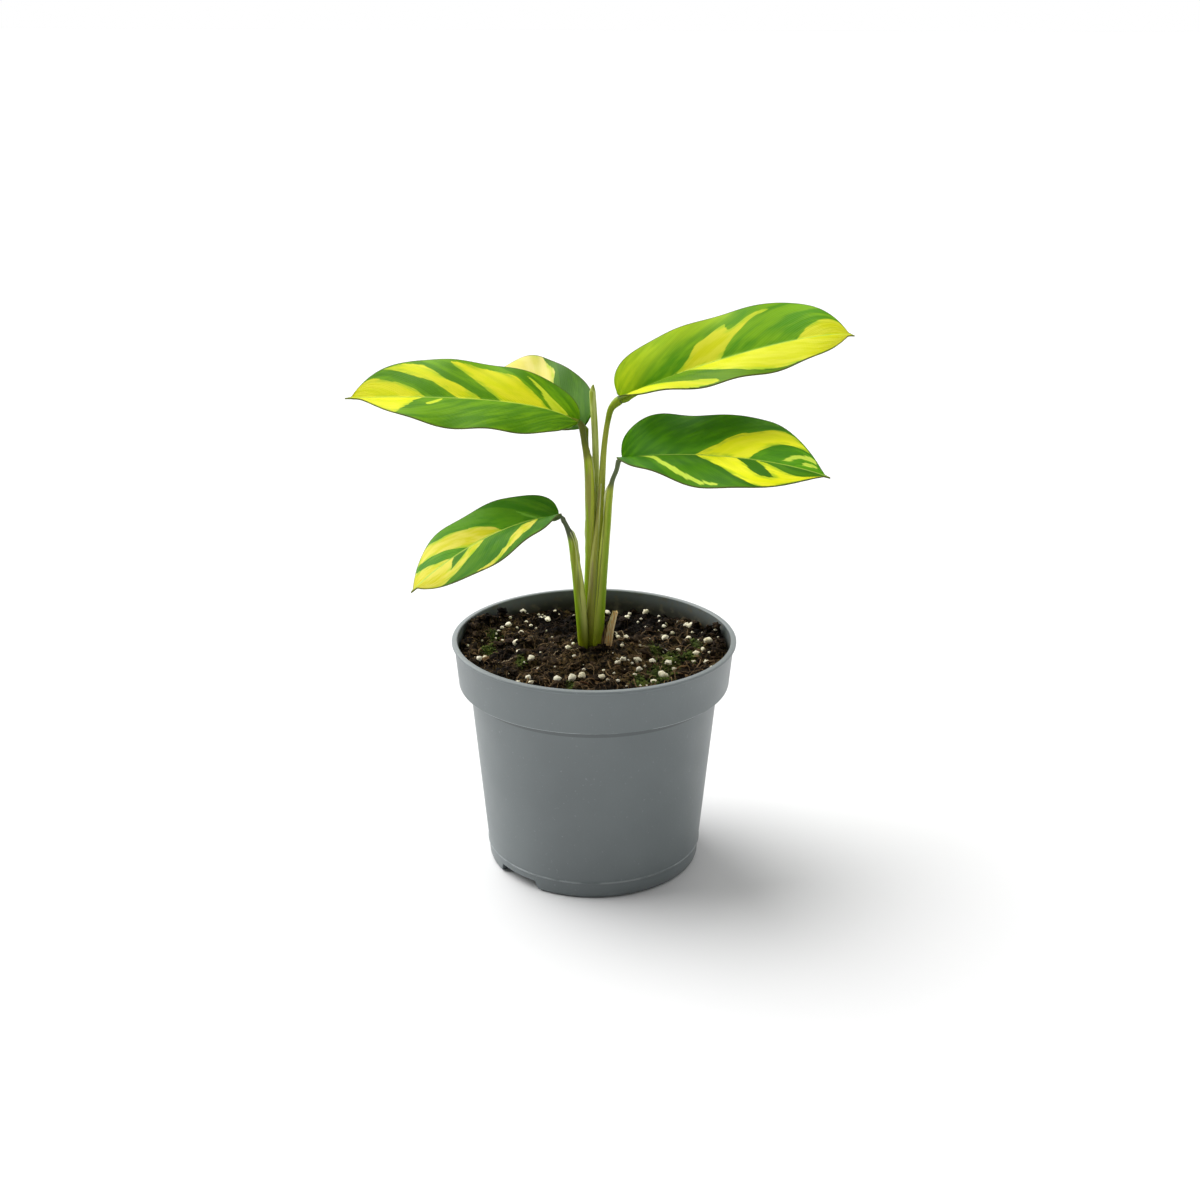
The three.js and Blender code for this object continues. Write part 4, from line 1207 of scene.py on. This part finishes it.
def makeGrains():
    spots = {"peat_clods": clodSpots(), "peat_crumbs": randomSpots(2200, (0.25, 0.85), 421, 0.2, 0.6),
             "perlite_grains": perliteSpots(), "bark_chips": randomSpots(40, (1.0, 2.6), 91, 0.2, 0.28),
             "moss_tufts": tuftSpots()}
    for name, grain in grains.items():
        piece = scatter(name, lumpShapes(*grain["shape"]), spots[name], grain["seed"])
        finish(piece, "soil", grain["smooth"], grainMaterial(*grain["material"]))


strandSteps, strandCorners, strandReach = 9, 5, 54.5
# pixel across and down, heading, length, radius, bend, lift
rootsSeen = (
    (615, 634, -0.15, 9.5, 0.17, -0.14, 1.4), (616, 639, -1.0, 6, 0.14, 0.12, 0.6),
    (632, 641, -1.2, 4.5, 0.13, 0.1, 0.4), (560, 656, 1.3, 7, 0.2, -0.2, 0.9),
    (497, 664, 0.5, 9, 0.2, -0.05, 0.5), (530, 668, 0.6, 6, 0.25, 0.1, 0.5),
    (635, 652, -0.9, 9, 0.28, 0.03, 0.3), (640, 650, 0.4, 8, 0.24, -0.08, 0.3),
    (652, 655, -0.6, 10, 0.18, 0.02, 0.3), (548, 656, 0.2, 6, 0.15, 0.12, 0.4),
    (668, 655, 0.1, 9, 0.15, 0.05, 0.3), (610, 650, -2.2, 6, 0.12, 0.2, 0.3))
twigsSeen = (
    (604, 682, 3.6, 6.5, 0.42, 0.02, 0.6), (590, 686, 3.0, 5.5, 0.4, 0.04, 0.5),
    (690, 669, 3.3, 7, 0.5, 0.0, 0.4), (484, 624, 2.2, 4, 0.4, 0.1, 0.8), (712, 632, 1.4, 4, 0.35, 0.1, 1.5))


def layStrands(name, strands, material):
    # thin strands that lie on the soil in loose curves, each with its place, heading, length, radius, bend,
    # lift, tint and seed
    places, faces, tints = [], [], []
    for x, y, heading, length, radius, bend, lift, tint, seed in strands:
        start = len(places)
        for step in range(strandSteps + 1):
            share = step / strandSteps
            height = soilSurface(x, y) + radius + lift * sin(pi * share)
            thin = radius * (1 - 0.6 * abs(2 * share - 1) ** 3)
            for corner in range(strandCorners):
                turn = 2 * pi * corner / strandCorners
                sideways = cos(turn) * thin
                places.append(((x - sin(heading) * sideways) * mm, (y + cos(heading) * sideways) * mm,
                               (height + sin(turn) * thin) * mm))
                tints.append(tint)
                if step < strandSteps:
                    low = start + step * strandCorners
                    here, ahead = low + corner, low + (corner + 1) % strandCorners
                    faces.append((here, ahead, ahead + strandCorners, here + strandCorners))
            heading += bend + 0.5 * (seeded(seed * 3.1 + step) - 0.5)
            x += cos(heading) * length / strandSteps
            y += sin(heading) * length / strandSteps
            if hypot(x, y) > strandReach:
                x, y = x * strandReach / hypot(x, y), y * strandReach / hypot(x, y)
        for end in (start, start + strandCorners * strandSteps):
            faces.append(tuple(end + corner for corner in range(strandCorners)))
    finish(meshPiece(name, places, faces, tints), "soil", None, material)


def strandsSeen(seen, seed):
    return [(*onSoil(px, py), *curve, seeded(index * 3.3), index + seed)
            for index, (px, py, *curve) in enumerate(seen)]


def makeFibres():
    strands = []
    for index in range(1000):
        reach, angle = 54 * sqrt(seeded(203 + index * 1.7)), 6.283 * seeded(203 + index * 2.9)
        x, y = reach * cos(angle), reach * sin(angle)
        if clearOfStalks(x, y, 1):
            strands.append((x, y, 6.283 * seeded(index * 4.3), 2.5 + 7 * seeded(index * 5.9) ** 2,
                            0.07 + 0.17 * seeded(index * 6.1) ** 2, 0.4 * (seeded(index * 7.7) - 0.5),
                            1.1 * seeded(index * 8.3) ** 2, seeded(index * 9.9), index + 0.3))
    for index in range(130):  # straw-like slivers, mostly at the front
        reach, angle = 53 * sqrt(seeded(503 + index * 1.7)), 6.283 * seeded(503 + index * 2.9)
        x, y = reach * cos(angle), reach * sin(angle) - 8 * seeded(index * 1.3)
        if clearOfStalks(x, y, 2) and hypot(x, y) < 52:
            strands.append((x, y, 6.283 * seeded(index * 4.7), 2.5 + 5 * seeded(index * 5.1),
                            0.16 + 0.2 * seeded(index * 6.7), 0.1 * (seeded(index * 7.1) - 0.5),
                            0.9 * seeded(index * 8.9), 0.75 + 0.25 * seeded(index * 9.1), index + 0.7))
    # Plant fibre in the mix: dark and curled, with paler dry ends
    layStrands("peat_fibres", strands, grainMaterial("peat fibre", ("#2c2018", "#8e7452", "#3e2f22"), 0.75, 1500.0))
    # Fine living roots at the foot of the stalks: pale, smooth and looped
    layStrands("fine_roots", strandsSeen(rootsSeen, 900),
               grainMaterial("fine living root", ("#b8a486", "#8b7656", "#6f5c40"), 0.55, 1500.0, False))
    # Small twigs and bark slivers: red brown and matt
    layStrands("thin_twigs", strandsSeen(twigsSeen, 700),
               grainMaterial("dry twig bark", ("#6a4630", "#8d7048", "#3f2a1a"), 0.8, 1300.0))


def rhizomeMaterial():
    # Rhizome and thick roots: fleshy and cream, with thin brown scale scars and stains from the peat
    newMaterial("fleshy rhizome skin")
    place = objectPlace()
    scars = addNode("TexWave", {"wave_type": "BANDS", "bands_direction": "Z"},
                    {"Vector": place, "Scale": 90.0, "Distortion": 2.0}), "Fac"
    stained = ramp(cloudy(place, 160.0, 4.0), 0.42, 0.68)
    tone = layered(mixColour(stained, "#d8c49a", "#7a5c3a"),
                   (ramp(scars, 0.86, 0.97), "#5e4328"))
    return finishMaterial(tone, 0.5, scars, 0.4, 0.0003)


makeSoilBody()
makeGrains()
makeFibres()
rhizomeSkin = rhizomeMaterial()
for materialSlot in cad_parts["rhizome_and_roots"].material_slots:
    materialSlot.material = rhizomeSkin
print("soil and rhizome done")
